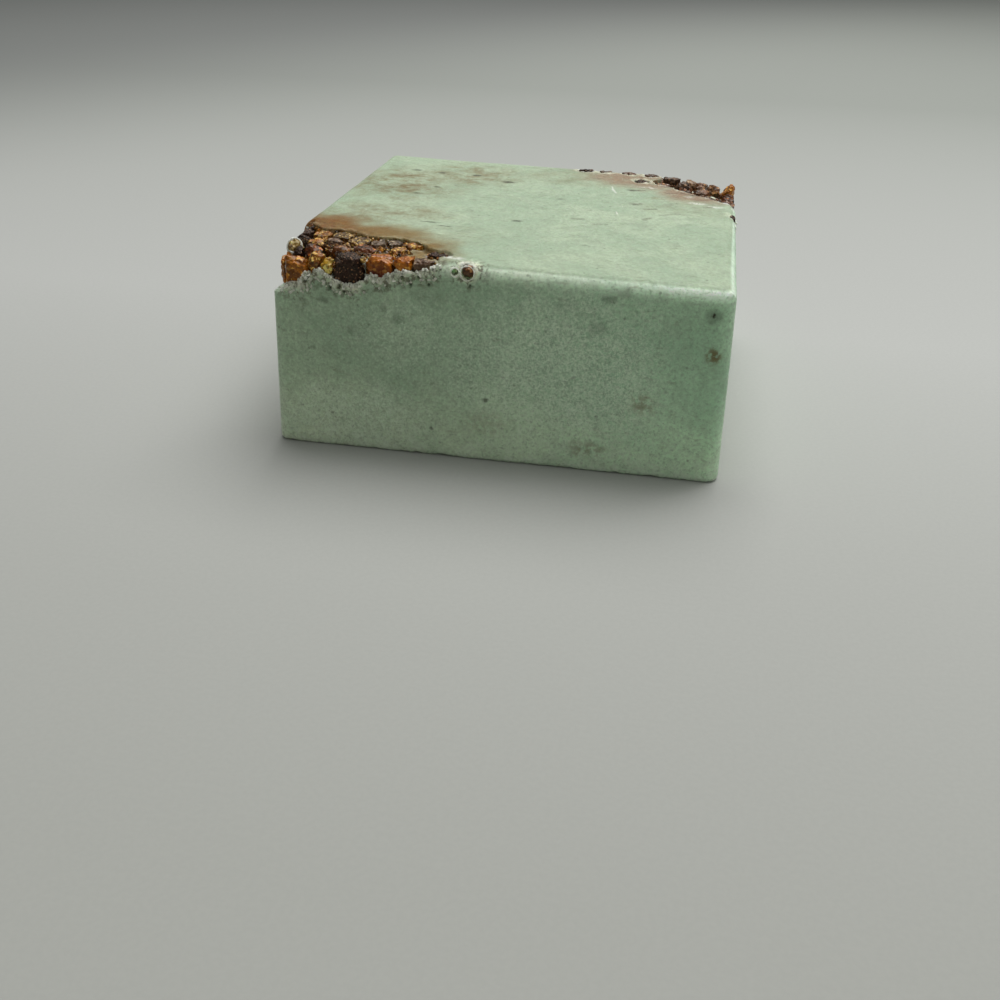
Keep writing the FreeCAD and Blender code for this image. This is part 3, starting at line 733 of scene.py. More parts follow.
    def filmed(self, table: NodeTable, colour: object, across: object, on_top: object
               ) -> bpy.types.NodeSocket:
        """Lay the brown murk on the top and the films of resin around both corners."""
        wide = self.stirred(table, 5.0, 3.0)
        clouds = table.between(table.cloud(2.8, 7.0, 0.72, 0.35), 0.3, 0.68)
        murk = table.times(self.stained(table, self.murk, wide), on_top, clouds)
        colour = table.blend(murk, colour, self.earth)
        far = table.times(self.stained(table, self.far_film, wide, 0.6),
                          table.between(table.cloud(2.2, 5.0, 0.7), 0.22, 0.52, 0.3, 1.0))
        colour = table.blend(far, colour, self.rosy)
        tone = table.blend(table.between(across, -29.0 * MM, -15.0 * MM), self.brown, self.tan)
        patchy = table.between(table.cloud(2.0, 5.0, 0.7, 0.8), 0.4, 0.66, 0.0, 0.55)
        tone = table.blend(patchy, tone, self.tan)
        dark = table.between(table.cloud(0.8, 5.0, 0.75, 0.8), 0.48, 0.68, 0.0, 0.6)
        tone = table.blend(dark, tone, self.rust)
        return table.blend(table.times(self.stained(table, self.film, wide, 0.55), 0.97), colour, tone)

    def marked(self, table: NodeTable, colour: object) -> bpy.types.NodeSocket:
        """Lay the rusty spots, flecks, dark streaks, white smears and scratches over the soap."""
        fine = self.stirred(table, 0.9, 0.55)
        rust = table.times(self.stained(table, self.rusty, fine),
                           table.between(table.cloud(0.8, 3.0), 0.4, 0.55))
        colour = table.blend(rust, colour, self.rust)
        colour = table.blend(self.stained(table, self.flecks, fine), colour, self.speck_and_pit_shade)
        broken = table.between(table.cloud(0.8, 5.0, 0.75), 0.4, 0.56)
        frayed = table.most(broken, 0.5)
        for line in self.streaks:
            stroke = table.between(table.stroke(line.start, line.end, line.width), 0.0, 0.6)
            colour = table.blend(table.times(stroke, line.strength, frayed), colour, self.dusk)
        pale = table.times(self.stained(table, self.white, fine), broken)
        for line in self.scratches:
            pale = table.most(pale, table.stroke(line.start, line.end, line.width))
        return table.blend(pale, colour, self.bloom)

    def crusted(self, table: NodeTable, colour: object) -> bpy.types.NodeSocket:
        """Whiten the broken rims, dirty the soap beside the resin and paint shade into the small pits."""
        rim = table.add("ShaderNodeAttribute", attribute_name="rim").outputs["Fac"]
        ragged = table.between(table.cloud(0.9, 4.0, 0.65), 0.36, 0.54, 0.3, 1.0)
        ragged = table.most(ragged, table.between(rim, 0.6, 0.95))
        colour = table.blend(table.times(rim, ragged), colour, self.crust)
        grime = table.add("ShaderNodeAttribute", attribute_name="grime").outputs["Fac"]
        dirt = table.times(grime, table.between(table.cloud(0.75, 4.0, 0.65), 0.47, 0.6))
        colour = table.blend(dirt, colour, self.soil)
        # Painted shade: the small pits in the front face are darkened.
        return table.blend(self.stained(table, self.pits, table.place, 0.5), colour, self.speck_and_pit_shade)

    def material(self) -> bpy.types.Material:
        """Make the soap's material.

        Returns:
            The material, patterned in the bar's own coordinates.
        """
        table = NodeTable(self.name)
        axes = table.axes()
        slope = (FORM.height_right - FORM.height_left) / (2 * FORM.half_side)
        over = table.maths("SUBTRACT", axes["Z"], table.times(axes["X"], slope))
        middle = (FORM.height_left + FORM.height_right) / 2 * MM
        on_top = table.between(over, middle - 0.5 * MM, middle - 0.15 * MM)
        # Painted glow: the band just under the top's rim where the sides are lightened, weaker at the right
        # edge.
        rim_glow_band = table.times(table.between(over, middle - 2.8 * MM, middle - 0.5 * MM),
                                table.between(axes["X"], 32.6 * MM, 31.4 * MM, 0.25, 1.0))
        plain = self.body(table)
        sides = self.frosted_sides_and_painted_light(table, plain, axes["X"], axes["Z"], rim_glow_band)
        colour = table.blend(table.maths("SUBTRACT", 1.0, on_top), plain, sides)
        colour = self.filmed(table, colour, axes["X"], on_top)
        colour = self.marked(table, colour)
        colour = self.crusted(table, colour)

        surface = table.surface.inputs
        table.join(colour, surface["Base Color"])
        worn = table.cloud(1.4, 4.0)
        table.join(table.between(worn, 0.3, 0.7, self.roughness - 0.1, self.roughness + 0.12),
                   surface["Roughness"])
        surface["Specular IOR Level"].default_value = self.specular
        surface["Subsurface Weight"].default_value = self.glow
        surface["Subsurface Radius"].default_value = self.glow_depth
        surface["Subsurface Scale"].default_value = MM
        relief = table.bump(table.cloud(0.5, 3.0, 0.65, 1.5), 0.08)
        relief = table.bump(table.threads(0.62, 0.06), 0.02, relief)
        table.join(table.bump(table.cloud(2.5, 3.0), 0.12, relief), surface["Normal"])
        return table.material


@dataclass(frozen=True)
class ResinFinish:
    """Tree resin of one colour: deep in its body, lighter along thin places, with glints of broken grain."""

    name: str
    slot: Slot
    deep: Colour
    body: Colour
    glint: Colour
    glints: float = 0.35
    roughness: float = 0.33
    coat: float = 0.18
    shine: float = 0.4
    highlight: Colour = (1.0, 0.78, 0.55, 1.0)
    glow: float = 0.1
    grain: float = 0.42
    dust: float = 0.06
    dust_colour: Colour = paint(166, 150, 124)
    shade: Colour = paint(60, 20, 6)
    shade_below: float = 0.0

    def material(self) -> bpy.types.Material:
        """Make this resin's material.

        Returns:
            The material, patterned in the bar's own coordinates.
        """
        table = NodeTable(self.name)
        colour = table.ramp(table.cloud(1.3, 5.0, 0.68, 0.8), (0.38, self.deep), (0.6, self.body))
        distance, chance = table.cells(self.grain)
        # Painted glints: a share of the grain's cells takes the bright glint colour, for sparkling facets.
        spark = table.between(chance[0], 1.0 - self.glints, 1.0 - self.glints * 0.4, 0.0, 0.85)
        colour = table.blend(spark, colour, self.glint)
        pits = table.between(chance[1], 0.72, 0.84, 0.0, 0.7)
        colour = table.blend(pits, colour, self.deep)
        # Painted shade: the lump darkens towards its bottom, below the given height.
        if self.shade_below:
            low = table.between(table.axes()["Z"], self.shade_below * MM, (self.shade_below - 1.6) * MM,
                                0.0, 0.85)
            colour = table.blend(low, colour, self.shade)
        dusty = table.between(table.cloud(0.8, 4.0, 0.7), 0.5, 0.7, 0.0, self.dust)
        colour = table.blend(dusty, colour, self.dust_colour)
        surface = table.surface.inputs
        table.join(colour, surface["Base Color"])
        worn = table.cloud(0.5, 3.0)
        table.join(table.between(worn, 0.35, 0.65, self.roughness - 0.1, self.roughness + 0.15),
                   surface["Roughness"])
        surface["Specular IOR Level"].default_value = self.shine
        surface["Specular Tint"].default_value = self.highlight
        surface["Coat Weight"].default_value = self.coat
        surface["Coat Roughness"].default_value = 0.12
        surface["Subsurface Weight"].default_value = self.glow
        surface["Subsurface Radius"].default_value = (0.8, 0.4, 0.15)
        surface["Subsurface Scale"].default_value = MM
        relief = table.bump(distance, 0.12)
        table.join(table.bump(table.cloud(0.3, 3.0), 0.05, relief), surface["Normal"])
        return table.material


HONEY = ResinFinish("honey_resin", Slot.AMBER, paint(100, 54, 8), paint(190, 116, 22),
                    paint(244, 186, 84), 0.2, glow=0.18, dust=0.0, shine=0.35)
ORANGE = ResinFinish("orange_resin", Slot.AMBER, paint(108, 50, 6), paint(188, 110, 24),
                     paint(232, 170, 78), 0.15, glow=0.18, dust=0.0, shine=0.35, shade=paint(92, 24, 4),
                     shade_below=28.2)
GOLD = ResinFinish("gold_resin", Slot.GOLD, paint(68, 38, 10), paint(166, 102, 26), paint(255, 214, 116), 0.3,
                   grain=0.3, glow=0.15)
DUST = ResinFinish("gold_grit", Slot.GOLD, paint(60, 34, 8), paint(146, 92, 24), paint(236, 184, 88), 0.16,
                   grain=0.2)
YELLOW = ResinFinish("yellow_resin", Slot.GOLD, paint(104, 72, 12), paint(196, 152, 40),
                     paint(255, 236, 140), 0.4, glow=0.2)
SPECKLED = ResinFinish("speckled_gold_resin", Slot.GOLD, paint(44, 28, 14), paint(116, 84, 40),
                       paint(230, 192, 104), 0.3, grain=0.26)
MAROON = ResinFinish("maroon_resin", Slot.BROWN, paint(30, 11, 5), paint(96, 46, 16),
                     paint(206, 124, 56), 0.15, coat=0.08, shine=0.3)
BROWN = ResinFinish("brown_resin", Slot.BROWN, paint(48, 26, 14), paint(116, 70, 38),
                    paint(192, 140, 86), 0.2, dust=0.15)
TAWNY = ResinFinish("tawny_resin", Slot.BROWN, paint(96, 66, 40), paint(150, 120, 88),
                    paint(198, 172, 138), 0.2, roughness=0.45, dust=0.3)
UMBER = ResinFinish("umber_resin", Slot.DARK, paint(30, 18, 12), paint(82, 52, 32), paint(150, 112, 78), 0.2,
                    coat=0.15, dust=0.15)
BLACK = ResinFinish("black_resin", Slot.DARK, paint(14, 6, 5), paint(50, 27, 21), paint(158, 118, 86), 0.09,
                    grain=0.2, roughness=0.28, coat=0.06, shine=0.3)
MAUVE = ResinFinish("mauve_resin", Slot.GREY, paint(52, 36, 27), paint(110, 84, 66),
                    paint(184, 158, 130), 0.2, coat=0.1, shine=0.25, dust=0.3)
GREY = ResinFinish("grey_resin", Slot.GREY, paint(46, 36, 27), paint(108, 88, 70), paint(204, 186, 158), 0.25,
                   coat=0.1, shine=0.25, dust=0.3)
PALE = ResinFinish("pale_resin", Slot.GOLD, paint(104, 80, 36), paint(168, 140, 76),
                   paint(236, 220, 156), 0.3, glow=0.3)

FINISHES = {
    HONEY: ("amber_lump_front", "amber_lump_corner", "amber_lump_small", "amber_lump_side", "amber_shard"),
    ORANGE: ("orange_lump_large", "orange_lump_small"),
    GOLD: ("brown_gold_lump_front", "gold_lump_low", "gold_lump_middle", "gold_sliver", "gold_lump_bright"),
    YELLOW: ("yellow_gold_lump",),
    SPECKLED: ("gold_black_lump", "olive_gold_lump"),
    MAROON: ("maroon_lump_small", "maroon_lump_long", "red_brown_lump_edge", "red_brown_lump_side"),
    BROWN: ("brown_lump_side", "brown_lump_edge_right", "brown_lump_edge_middle", "dark_knot",
            "brown_sliver_edge", "flat_brown_lump", "brown_lump_back", "black_brown_lump", "edge_granule"),
    TAWNY: ("brown_lump_edge_left",),
    UMBER: ("dark_lump_corner", "dark_lump_back_low", "dark_lump_side_low", "thin_dark_lump",
            "black_lump_back_right", "black_lump_back_left", "dark_sliver_back"),
    BLACK: ("dark_lump_large", "dark_lump_small", "dark_sliver_top", "black_lump_low", "black_lump_middle",
            "black_lump_back", "flat_black_lump", "black_sliver_back", "edge_crumb"),
    MAUVE: ("mauve_lump", "grey_lump_front", "mauve_lump_side"),
    GREY: ("grey_spike_left", "grey_spike_right", "thin_grey_lump", "grey_sliver_back"),
    PALE: ("pale_bead",),
}


# The resin lumps


@dataclass
class Nugget:
    """One resin lump, weathered and broken out of the form of its CAD solid."""

    node: str
    finish: ResinFinish
    bevel: float = 0.16
    grid: float = 0.13
    chip_width: float = 0.85
    chip_depth: float = 0.16
    grain_width: float = 0.3
    grain_depth: float = 0.035
    swell: float = 0.0
    cuts: tuple[tuple[Place, Place], ...] = ()

    def broken(self, mesh: bpy.types.Mesh) -> None:
        """Break larger corners off, each at a plane through a share of the lump's own box."""
        shape = bmesh.new()
        shape.from_mesh(mesh)
        corners = points_of(mesh)
        low, reach = corners.min(axis=0), np.ptp(corners, axis=0)
        for share, normal in self.cuts:
            cut = bmesh.ops.bisect_plane(shape, geom=shape.verts[:] + shape.edges[:] + shape.faces[:],
                                         plane_co=Vector(low + reach * np.array(share)),
                                         plane_no=Vector(normal), clear_outer=True)
            rim = [edge for edge in cut["geom_cut"] if isinstance(edge, bmesh.types.BMEdge)]
            bmesh.ops.contextual_create(shape, geom=rim)
        shape.to_mesh(mesh)
        shape.free()

    def build(self) -> bpy.types.Object:
        """Round, chip and roughen a copy of the lump's solid.

        Returns:
            The piece, in millimetres.
        """
        piece = working_copy(self.node, f"{self.node}_stone")
        self.broken(piece.data)
        bevel = piece.modifiers.new("WornEdges", "BEVEL")
        bevel.width = self.bevel
        bevel.segments = 2
        bevel.angle_limit = math.radians(20)
        remesh(piece, self.grid)
        points = points_of(piece.data)
        chips = chipped(points, self.chip_width, 11)
        depth = self.chip_depth * smooth_step(chips, 0.25, 0.85)
        depth += self.chip_depth * 0.5 * (layered(points, 0.9, 21) + 0.4)
        depth += self.grain_depth * layered(points, self.grain_width, 31, 2)
        points -= normals_of(piece.data) * (depth - self.swell)[:, None]
        set_points(piece.data, FORM.twist(points))
        piece.data.shade_smooth()
        return piece


class ResinClusters:
    """All the lumps of both corners, and the two single grains."""

    swells = {"edge_granule": 0.2, "edge_crumb": 0.1, "pale_bead": 0.1, "amber_shard": 0.1}
    cuts = {"amber_shard": (((0.72, 0.5, 1.0), (-0.75, 0.0, 0.66)), ((0.9, 0.5, 1.0), (0.9, 0.0, 0.35)))}

    def __init__(self) -> None:
        """Start with no lump made."""
        self.pieces: list[tuple[bpy.types.Object, Nugget]] = []

    def build(self) -> None:
        """Make every lump, still in millimetres."""
        for finish, nodes in FINISHES.items():
            for node in nodes:
                nugget = Nugget(node, finish, swell=self.swells.get(node, 0.0), cuts=self.cuts.get(node, ()))
                self.pieces.append((nugget.build(), nugget))

    def surface(self) -> BVHTree:
        """Give one search tree over all the lumps, to measure how near the soap is to resin."""
        corners: list[Vector] = []
        faces: list[list[int]] = []
        for piece, _ in self.pieces:
            start = len(corners)
            corners += [vertex.co.copy() for vertex in piece.data.vertices]
            faces += [[start + index for index in face.vertices] for face in piece.data.polygons]
        return BVHTree.FromPolygons(corners, faces)

    def dress(self) -> None:
        """Bring the lumps to metres and give each its resin."""
        DUST.material()
        materials = {finish: finish.material() for finish in FINISHES}
        for piece, nugget in self.pieces:
            settle(piece, nugget.finish.slot, materials[nugget.finish], nugget.node)


# The block of soap


@dataclass
class SoapBlock:
    """The poured block, with crumbled soap around the resin and a slightly chipped base edge."""

    grid: float = 0.25
    most_triangles: int = 185_000
    crumbled: float = 1.9
    crumble_shift: float = 0.26
    crumble_depth: float = 0.2
    sag: float = 0.06
    grain: float = 0.012
    chips_reach: float = 1.1
    chips_depth: float = 0.4
    base_band: float = 1.5
    pit_depth: float = 0.7
    soft_rim: float = 1.9
    rim_slack: float = 0.3
    corner_reach: float = 40.0
    lowest_resin: float = 18.0
    front_band: tuple[float, float] = (-29.6, -31.4)
    white_band: tuple[float, float] = (1.3, 0.35)
    dirt_band: tuple[float, float] = (2.4, 1.2)
    dirt_reach: float = 2.2
    dirt_gap: float = 0.22
    socket_place: Place = (-4.3, -32.4, 28.0)
    socket_reach: float = 2.3
    finish: SoapFinish = field(default_factory=SoapFinish)

    def resin_distance(self, points: np.ndarray, resin: BVHTree, reach: float) -> np.ndarray:
        """Measure how far each point is from the nearest lump, up to reach."""
        distance = np.full(len(points), reach)
        corner = np.minimum(np.abs(points[:, :2] + FORM.half_side).sum(axis=1),
                            np.abs(points[:, :2] - FORM.half_side).sum(axis=1))
        for index in np.nonzero((corner < self.corner_reach) & (points[:, 2] > self.lowest_resin))[0]:
            found = resin.find_nearest(Vector(points[index]), reach)
            if found[0] is not None:
                distance[index] = found[3]
        return distance

    def build(self, resin: BVHTree) -> bpy.types.Object:
        """Work up the block's surface.

        Args:
            resin: Search tree over the lumps.

        Returns:
            The piece, in millimetres.
        """
        piece = working_copy("soap_block", "soap_body")
        remesh(piece, self.grid)
        mesh = piece.data
        points = FORM.twist(points_of(mesh))
        set_points(mesh, points)
        normals = normals_of(mesh)
        near = self.resin_distance(points, resin, self.crumbled)
        zone = smooth_step(near, self.crumbled, 0.2)
        waves = self.sag * layered(points, 9.0, 41) + self.grain * rolling(points, 1.3, 43)
        moved = points + normals * waves[:, None]
        shift = np.stack([layered(points, 0.95, seed, 2) for seed in (51, 61, 71)], axis=1)
        moved += shift * (self.crumble_shift * zone)[:, None]
        moved += normals * (self.crumble_depth * zone * (layered(points, 0.55, 81, 2) - 0.25))[:, None]
        wall = np.maximum(np.abs(points[:, 0]), np.abs(points[:, 1]))
        low = smooth_step(points[:, 2], self.chips_reach, 0.0) * (wall > FORM.half_side - self.base_band)
        bite = np.clip(layered(points, 2.6, 91) - 0.12, 0, 1) + 0.5 * np.clip(layered(points, 0.8, 95), 0, 1)
        moved -= normals * (self.chips_depth * low * bite)[:, None]
        moved += self.softened(points)
        moved[:, 1] += self.pitted(points)
        moved[:, 2] = np.maximum(moved[:, 2], 0.0)
        set_points(mesh, moved)
        thin = piece.modifiers.new("Thin", "DECIMATE")
        thin.ratio = min(1.0, self.most_triangles / (2 * len(mesh.polygons)))
        apply_modifiers(piece)
        self.mark(mesh, resin)
        mesh.shade_smooth()
        return piece

    def softened(self, points: np.ndarray) -> np.ndarray:
        """Work out how far each point moves in where the rim of the top is worn rounder."""
        shift = np.zeros_like(points)
        down = FORM.twist_top(points) - points[:, 2]
        for axis in (0, 1):
            inward = FORM.wall_at(points[:, 2]) - np.abs(points[:, axis])
            off = np.stack([self.soft_rim - inward, self.soft_rim - down], axis=1)
            span = np.linalg.norm(off, axis=1)
            near = (inward > -self.rim_slack) & (down > -self.rim_slack)
            outside = near & (off > 0).all(axis=1) & (span > self.soft_rim)
            pull = off * ((span - self.soft_rim) / np.maximum(span, 1e-6))[:, None] * outside[:, None]
            shift[:, axis] -= np.sign(points[:, axis]) * pull[:, 0]
            shift[:, 2] -= pull[:, 1]
        return shift

    def pitted(self, points: np.ndarray) -> np.ndarray:
        """Measure how far each point of the front face is sunk into one of the small dark pits."""
        sunk = np.zeros(len(points))
        for pit in self.finish.pits:
            away = (points - np.array(pit.centre)) / np.array(pit.reach)
            sunk = np.maximum(sunk, self.pit_depth * smooth_step(np.linalg.norm(away, axis=1), 1.3, 0.4))
        return sunk

    def mark(self, mesh: bpy.types.Mesh, resin: BVHTree) -> None:
        """Note on each vertex how white its rim is and how much resin dust it holds."""
        points = points_of(mesh)
        near = self.resin_distance(points, resin, self.dirt_reach)
        in_front = smooth_step(points[:, 1], *self.front_band)
        far_side = points[:, 0] > 0
        single = np.linalg.norm(points - np.array(self.socket_place), axis=1) < self.socket_reach
        clean = np.maximum(np.maximum(in_front, 0.4 * far_side), 0.8 * single)
        marks = {
            "rim": smooth_step(near, *self.white_band) * (0.12 + 0.88 * clean),
            "grime": smooth_step(near, *self.dirt_band) * (0.15 + 0.6 * in_front) * (near > self.dirt_gap),
        }
        for name, values in marks.items():
            layer = mesh.attributes.new(name, "FLOAT", "POINT")
            layer.data.foreach_set("value", values.astype(np.float32))

    def dress(self, piece: bpy.types.Object) -> None:
        """Bring the block to metres and give it its soap."""
        settle(piece, Slot.SOAP, bpy.data.materials[self.finish.name], "soap_block")


# Crumbs and soap rings


class Zone(Enum):
    """Where a kind of crumb lies."""

    NEAR_GAPS = "in the gaps between the lumps of the near corner"
    FAR_GAPS = "in the gaps between the lumps of the far corner"
    FRONT_RIM = "on the soap's broken rim along the front and left faces"
    BACK_RIM = "on the soap's broken rim along the back and right faces"


@dataclass(frozen=True)
class CrumbKind:
    """Small grains of one finish: how many there are, their sizes in millimetres and where they lie."""

    name: str
    finish: ResinFinish | None
    count: int
    smallest: float
    largest: float
    zone: Zone
    seed: int
    sunk: float = 0.25


@dataclass
class Crumbs:
    """Small broken grains that fill the gaps between the lumps, and crumbs of soap along the broken rims."""

    kinds: tuple[CrumbKind, ...] = (
        CrumbKind("gold_crumbs", DUST, 520, 0.4, 1.0, Zone.NEAR_GAPS, 101),
        CrumbKind("honey_crumbs", HONEY, 130, 0.4, 0.9, Zone.NEAR_GAPS, 102),
        CrumbKind("speckled_crumbs", SPECKLED, 300, 0.4, 0.9, Zone.NEAR_GAPS, 107),
        CrumbKind("black_crumbs", BLACK, 120, 0.35, 0.9, Zone.NEAR_GAPS, 104),
        CrumbKind("grey_crumbs", GREY, 100, 0.3, 0.7, Zone.NEAR_GAPS, 105),
        CrumbKind("brown_crumbs", BROWN, 200, 0.4, 0.9, Zone.FAR_GAPS, 103),
        CrumbKind("umber_crumbs", UMBER, 110, 0.4, 0.9, Zone.FAR_GAPS, 106),
        CrumbKind("soap_crumbs_front", None, 280, 0.25, 0.8, Zone.FRONT_RIM, 108, 0.55),
        CrumbKind("soap_crumbs_back", None, 140, 0.25, 0.8, Zone.BACK_RIM, 109, 0.55),
    )
    nearest: float = 0.06
    farthest: float = 1.5
    reach: float = 1.7
    cluster_line: float = 22.0
    wall_band: float = 1.6
    gap_depths: tuple[float, float] = (0.4, 3.2)
    overhang: float = -0.3
    sparse_from: float = -13.5
    sparse_reach: float = 0.35
    rim_gap: float = 0.1
    rim_depth: float = 0.5
    lowest_rim: float = 19.0
    socket_clear: float = 3.6

    def grain(self) -> bpy.types.Mesh:
        """Model the one grain that all crumbs are copies of.

        Returns:
            Its mesh, one millimetre across, around the origin.
        """
        bpy.ops.object.select_all(action="DESELECT")
        bpy.ops.mesh.primitive_ico_sphere_add(subdivisions=1, radius=0.5)
        ball = bpy.context.active_object
        bpy.ops.object.mode_set(mode="EDIT")
        for normal, reach in (((0.8, 0.3, 0.5), 0.25), ((-0.6, 0.7, 0.3), 0.31), ((0.1, -0.9, 0.4), 0.22),
                              ((-0.4, -0.2, 0.9), 0.29), ((0.5, 0.6, -0.6), 0.33), ((-0.8, -0.5, -0.2), 0.3)):
            direction = Vector(normal).normalized()
            bpy.ops.mesh.select_all(action="SELECT")
            bpy.ops.mesh.bisect(plane_co=direction * reach, plane_no=direction, use_fill=True,
                                clear_outer=True)
        bpy.ops.object.mode_set(mode="OBJECT")
        mesh = ball.data.copy()
        bpy.data.objects.remove(ball)
        return mesh

    def seats(self, soap: bpy.types.Mesh, resin: BVHTree, block: SoapBlock
              ) -> dict[Zone, tuple[np.ndarray, np.ndarray]]:
        """Find the places where crumbs can lie, zone by zone.

        Returns:
            For each zone the places and the outward directions of the soap there.
        """
        points, normals = points_of(soap), normals_of(soap)
        near = block.resin_distance(points, resin, self.reach)
        below = FORM.top_at(points[:, 0]) - points[:, 2]
        wall = np.maximum(np.abs(points[:, 0]), np.abs(points[:, 1]))
        left = points[:, 0] + points[:, 1] < 0
        single = np.linalg.norm(points - np.array(block.socket_place), axis=1) < self.socket_clear
        cluster = (np.abs(points[:, 0] + points[:, 1]) > self.cluster_line) & ~single
        at_wall = wall > FORM.half_side - self.wall_band
        inside = wall < FORM.half_side - self.wall_band
        low, high = self.gap_depths
        gaps = (near > self.nearest) & (near < self.farthest) & (below > low) & (below < high)
        gaps &= inside & (normals[:, 2] > self.overhang) & cluster
        gaps &= ~(left & (points[:, 0] > self.sparse_from) & (near > self.sparse_reach))
        rims = (near > self.rim_gap) & (near < self.farthest) & at_wall & (below > self.rim_depth)
        rims &= (points[:, 2] > self.lowest_rim) & cluster
        held = {Zone.NEAR_GAPS: gaps & left, Zone.FAR_GAPS: gaps & ~left,
                Zone.FRONT_RIM: rims & left, Zone.BACK_RIM: rims & ~left}
        return {zone: (points[mask], normals[mask]) for zone, mask in held.items()}

    def build(self, soap: bpy.types.Mesh, resin: BVHTree, block: SoapBlock, soap_material: bpy.types.Material
              ) -> None:
        """Scatter every kind of crumb, each on its own seats, and set them on the bar."""
        grain = self.grain()
        corners = points_of(grain)
        faces = [tuple(face.vertices) for face in grain.polygons]
        seats = self.seats(soap, resin, block)
        for kind in self.kinds:
            chance = np.random.default_rng(kind.seed)
            points, normals = seats[kind.zone]
            log.info("%s: %d seats", kind.name, len(points))
            picked = chance.choice(len(points), size=min(kind.count, len(points)), replace=False)
            rows: list[np.ndarray] = []
            loops: list[tuple[int, ...]] = []
            for index in picked:
                facing = Vector(chance.normal(size=3)).normalized()
                turned = np.array(facing.to_track_quat("Z", "Y").to_matrix())
                size = chance.uniform(kind.smallest, kind.largest) * chance.uniform(0.55, 1.45, 3)
                seat = points[index] + normals[index] * (size.mean() * (0.5 - kind.sunk))
                seat[2] = min(seat[2], FORM.top_at(seat[0]) - size.max() / 2)
                start = len(rows) * len(corners)
                rows.append(corners * size @ turned.T + seat)
                loops += [tuple(start + corner for corner in face) for face in faces]
            mesh = bpy.data.meshes.new(kind.name)
            mesh.from_pydata(np.concatenate(rows).tolist(), [], loops)
            piece = bpy.data.objects.new(kind.name, mesh)
            bpy.context.scene.collection.objects.link(piece)
            if kind.finish:
                settle(piece, kind.finish.slot, bpy.data.materials[kind.finish.name])
            else:
                whiten(mesh)
                settle(piece, Slot.SOAP, soap_material)
        bpy.data.meshes.remove(grain)


def whiten(mesh: bpy.types.Mesh) -> None:
    """Mark all of a piece of soap as part of the white, broken rim."""
    layer = mesh.attributes.new("rim", "FLOAT", "POINT")
    layer.data.foreach_set("value", np.ones(len(mesh.vertices), np.float32))


@dataclass(frozen=True)
class SoapRing:
    """A raised lip of white soap around one bead or hole: its middle, axis and sizes in millimetres."""

    name: str
    middle: Place
    axis: Place
    radius: float
    thickness: float
    ripple: float = 0.12

    def build(self, material: bpy.types.Material) -> None:
        """Model the lip from a ring, roughen it and set it on the bar."""
        bpy.ops.object.select_all(action="DESELECT")
        bpy.ops.mesh.primitive_torus_add(major_radius=self.radius, minor_radius=self.thickness,
                                         major_segments=72, minor_segments=20)
        piece = bpy.context.active_object
        piece.name = self.name
        turned = Vector(self.axis).to_track_quat("Z", "Y").to_matrix().to_4x4()
        piece.data.transform(Matrix.Translation(Vector(self.middle)) @ turned)
        points = points_of(piece.data)
        rough = layered(points, 0.7, 121) * self.ripple + layered(points, 0.25, 131, 2) * self.ripple * 0.4
        set_points(piece.data, FORM.twist(points + normals_of(piece.data) * rough[:, None]))
        whiten(piece.data)
        piece.data.shade_smooth()
        settle(piece, Slot.SOAP, material)


RINGS = (
    SoapRing("bead_ring", (-30.3, -27.5, 28.5), (-0.1, -0.85, 0.55), 1.12, 0.15),
    SoapRing("socket_lip", (-4.0, -32.38, 27.95), (0.0, -1.0, 0.15), 1.0, 0.1, 0.13),
    SoapRing("pit_lip", (-5.7, -32.38, 27.98), (0.0, -1.0, 0.15), 0.6, 0.09, 0.11),
)


# Studio


@dataclass(frozen=True)
class Softbox:
    """A square soft light that looks at the bar: its centre and side in metres and its power in watts."""

    name: str
    place: Place
    size: float
    watts: float

    def hang(self) -> None:
        """Hang the light."""
        data = bpy.data.lights.new(self.name, "AREA")
        data.shape = "SQUARE"
        data.size = self.size
        data.energy = self.watts
        lamp = bpy.data.objects.new(self.name, data)
        bpy.context.scene.collection.objects.link(lamp)
        lamp.location = self.place
        lamp.rotation_euler = (-Vector(self.place)).to_track_quat("-Z", "Y").to_euler()


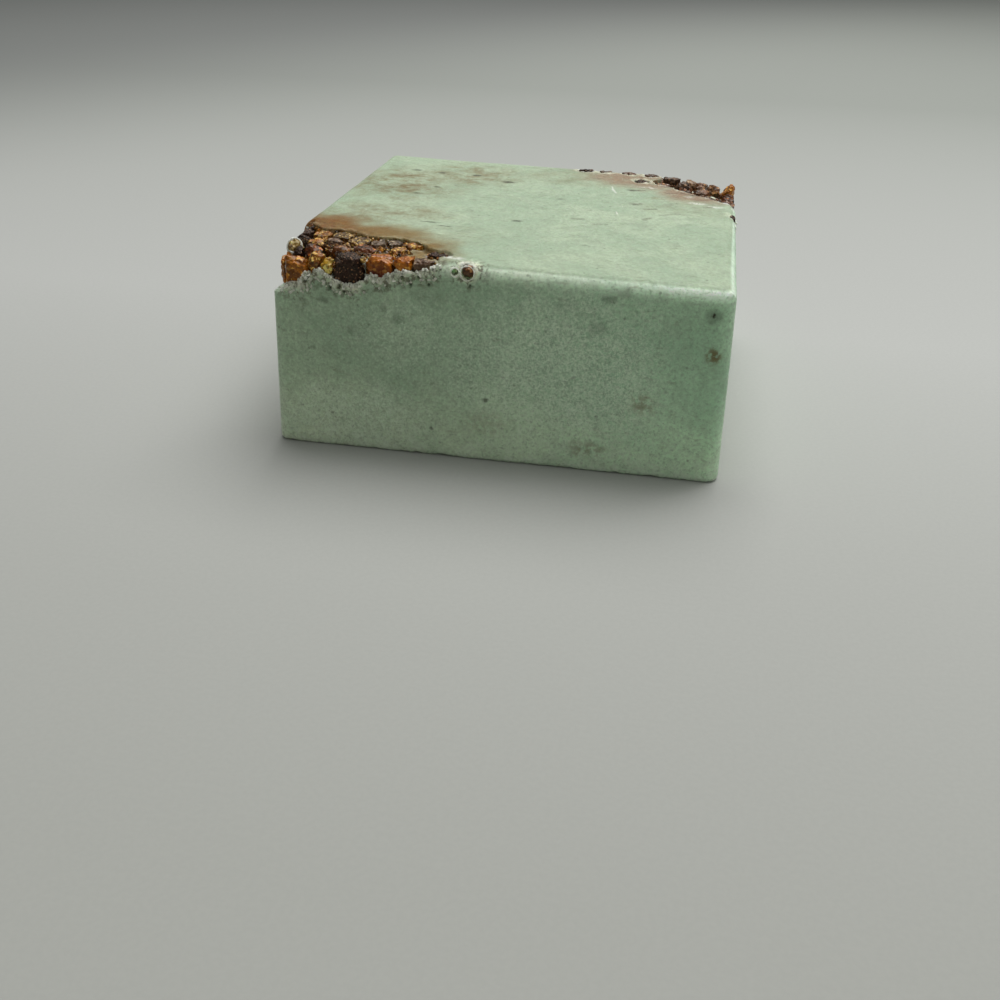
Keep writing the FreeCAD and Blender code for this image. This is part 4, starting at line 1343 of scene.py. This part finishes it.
@dataclass(frozen=True)
class Studio:
    """Pale paper, soft light and the camera: the camera in millimetres and degrees, the rest in metres."""

    camera_place: Place = (25.726, -175.626, 73.597)
    pitch: float = 28.925
    roll: float = 1.467
    yaw: float = -9.65
    lens: float = 39.6
    sensor: float = 36.0
    softboxes: tuple[Softbox, ...] = (
        Softbox("overhead", (0.12, 0.32, 0.75), 0.7, 8.1),
        Softbox("fill", (0.45, -0.5, 0.5), 0.5, 0.42),
    )
    paper_side: float = 16.0
    # These colours paint the light's falloff on the paper: brightest around the bar, painted shade nearer,
    # farther and towards the far left.
    paper_near_shade: Colour = paint(167, 168, 162)
    paper: Colour = paint(181, 182, 178)
    paper_far_shade: Colour = paint(148, 151, 145)
    paper_shade_and_fibre: Colour = paint(128, 130, 127)
    world_strength: float = 0.238
    world_colour: Colour = paint(235, 238, 236)

    def camera(self) -> None:
        """Set up the camera at the photograph's angle."""
        pitch, roll, yaw = (math.radians(value) for value in (self.pitch, self.roll, self.yaw))
        ahead = Vector((math.sin(yaw) * math.cos(pitch), math.cos(yaw) * math.cos(pitch), -math.sin(pitch)))
        level = Vector((math.cos(yaw), -math.sin(yaw), 0))
        above = level.cross(ahead)
        right = math.cos(roll) * level + math.sin(roll) * above
        up = -math.sin(roll) * level + math.cos(roll) * above
        data = bpy.data.cameras.new("Camera")
        data.lens = self.lens
        data.sensor_width = self.sensor
        data.clip_start = 0.01
        camera = bpy.data.objects.new("Camera", data)
        bpy.context.scene.collection.objects.link(camera)
        turned = Matrix((right, up, -ahead)).transposed().to_4x4()
        turned.translation = Vector(self.camera_place) * MM
        camera.matrix_world = turned
        bpy.context.scene.camera = camera

    def floor(self) -> None:
        """Lay the paper that the bar stands on, with the light's falloff painted on it: brightest around the
        bar, painted shade nearer, farther and towards the far left.
        """
        bpy.ops.object.select_all(action="DESELECT")
        bpy.ops.mesh.primitive_plane_add(size=self.paper_side, location=(0, 0, 0))
        paper = bpy.context.active_object
        paper.name = "paper"
        bpy.ops.object.transform_apply(location=True, rotation=True, scale=True)
        table = NodeTable("pale_paper")
        axes = table.axes()
        # Painted light: the paper's tone falls off nearer and farther than the bar, and darkens towards the
        # far left.
        depth = table.maths("DIVIDE", table.maths("ADD", axes["Y"], 0.15), 0.55)
        tone = table.ramp(depth, (0.067, self.paper_near_shade), (0.33, self.paper), (0.85, self.paper_far_shade))
        corner = table.between(table.maths("SUBTRACT", axes["X"], table.times(axes["Y"], 0.6)), -0.2, -0.55)
        tone = table.blend(corner, tone, self.paper_shade_and_fibre)
        fibre = table.between(table.cloud(0.6, 3.0), 0.3, 0.7, 0.0, 0.06)
        table.join(table.blend(fibre, tone, self.paper_shade_and_fibre), table.surface.inputs["Base Color"])
        table.surface.inputs["Roughness"].default_value = 0.8
        table.surface.inputs["Specular IOR Level"].default_value = 0.2
        paper.data.materials.append(table.material)

    def light(self) -> None:
        """Light the bar from above and behind, with a weak fill from the room."""
        for softbox in self.softboxes:
            softbox.hang()
        world = bpy.data.worlds.new("room")
        bpy.context.scene.world = world
        world.use_nodes = True
        background = world.node_tree.nodes["Background"]
        background.inputs["Color"].default_value = self.world_colour
        background.inputs["Strength"].default_value = self.world_strength

    def build(self) -> None:
        """Set up the whole studio."""
        self.camera()
        self.floor()
        self.light()
        bpy.context.scene.view_settings.view_transform = "Standard"


def main() -> None:
    """Build the studio and every piece of the bar, in order."""
    logging.basicConfig(level=logging.INFO, format="%(message)s")
    Studio().build()
    clusters = ResinClusters()
    clusters.build()
    resin = clusters.surface()
    block = SoapBlock()
    soap = block.build(resin)
    clusters.dress()
    Crumbs().build(soap.data, resin, block, block.finish.material())
    block.dress(soap)
    for ring in RINGS:
        ring.build(soap.data.materials[0])


if __name__ == "__main__":
    main()
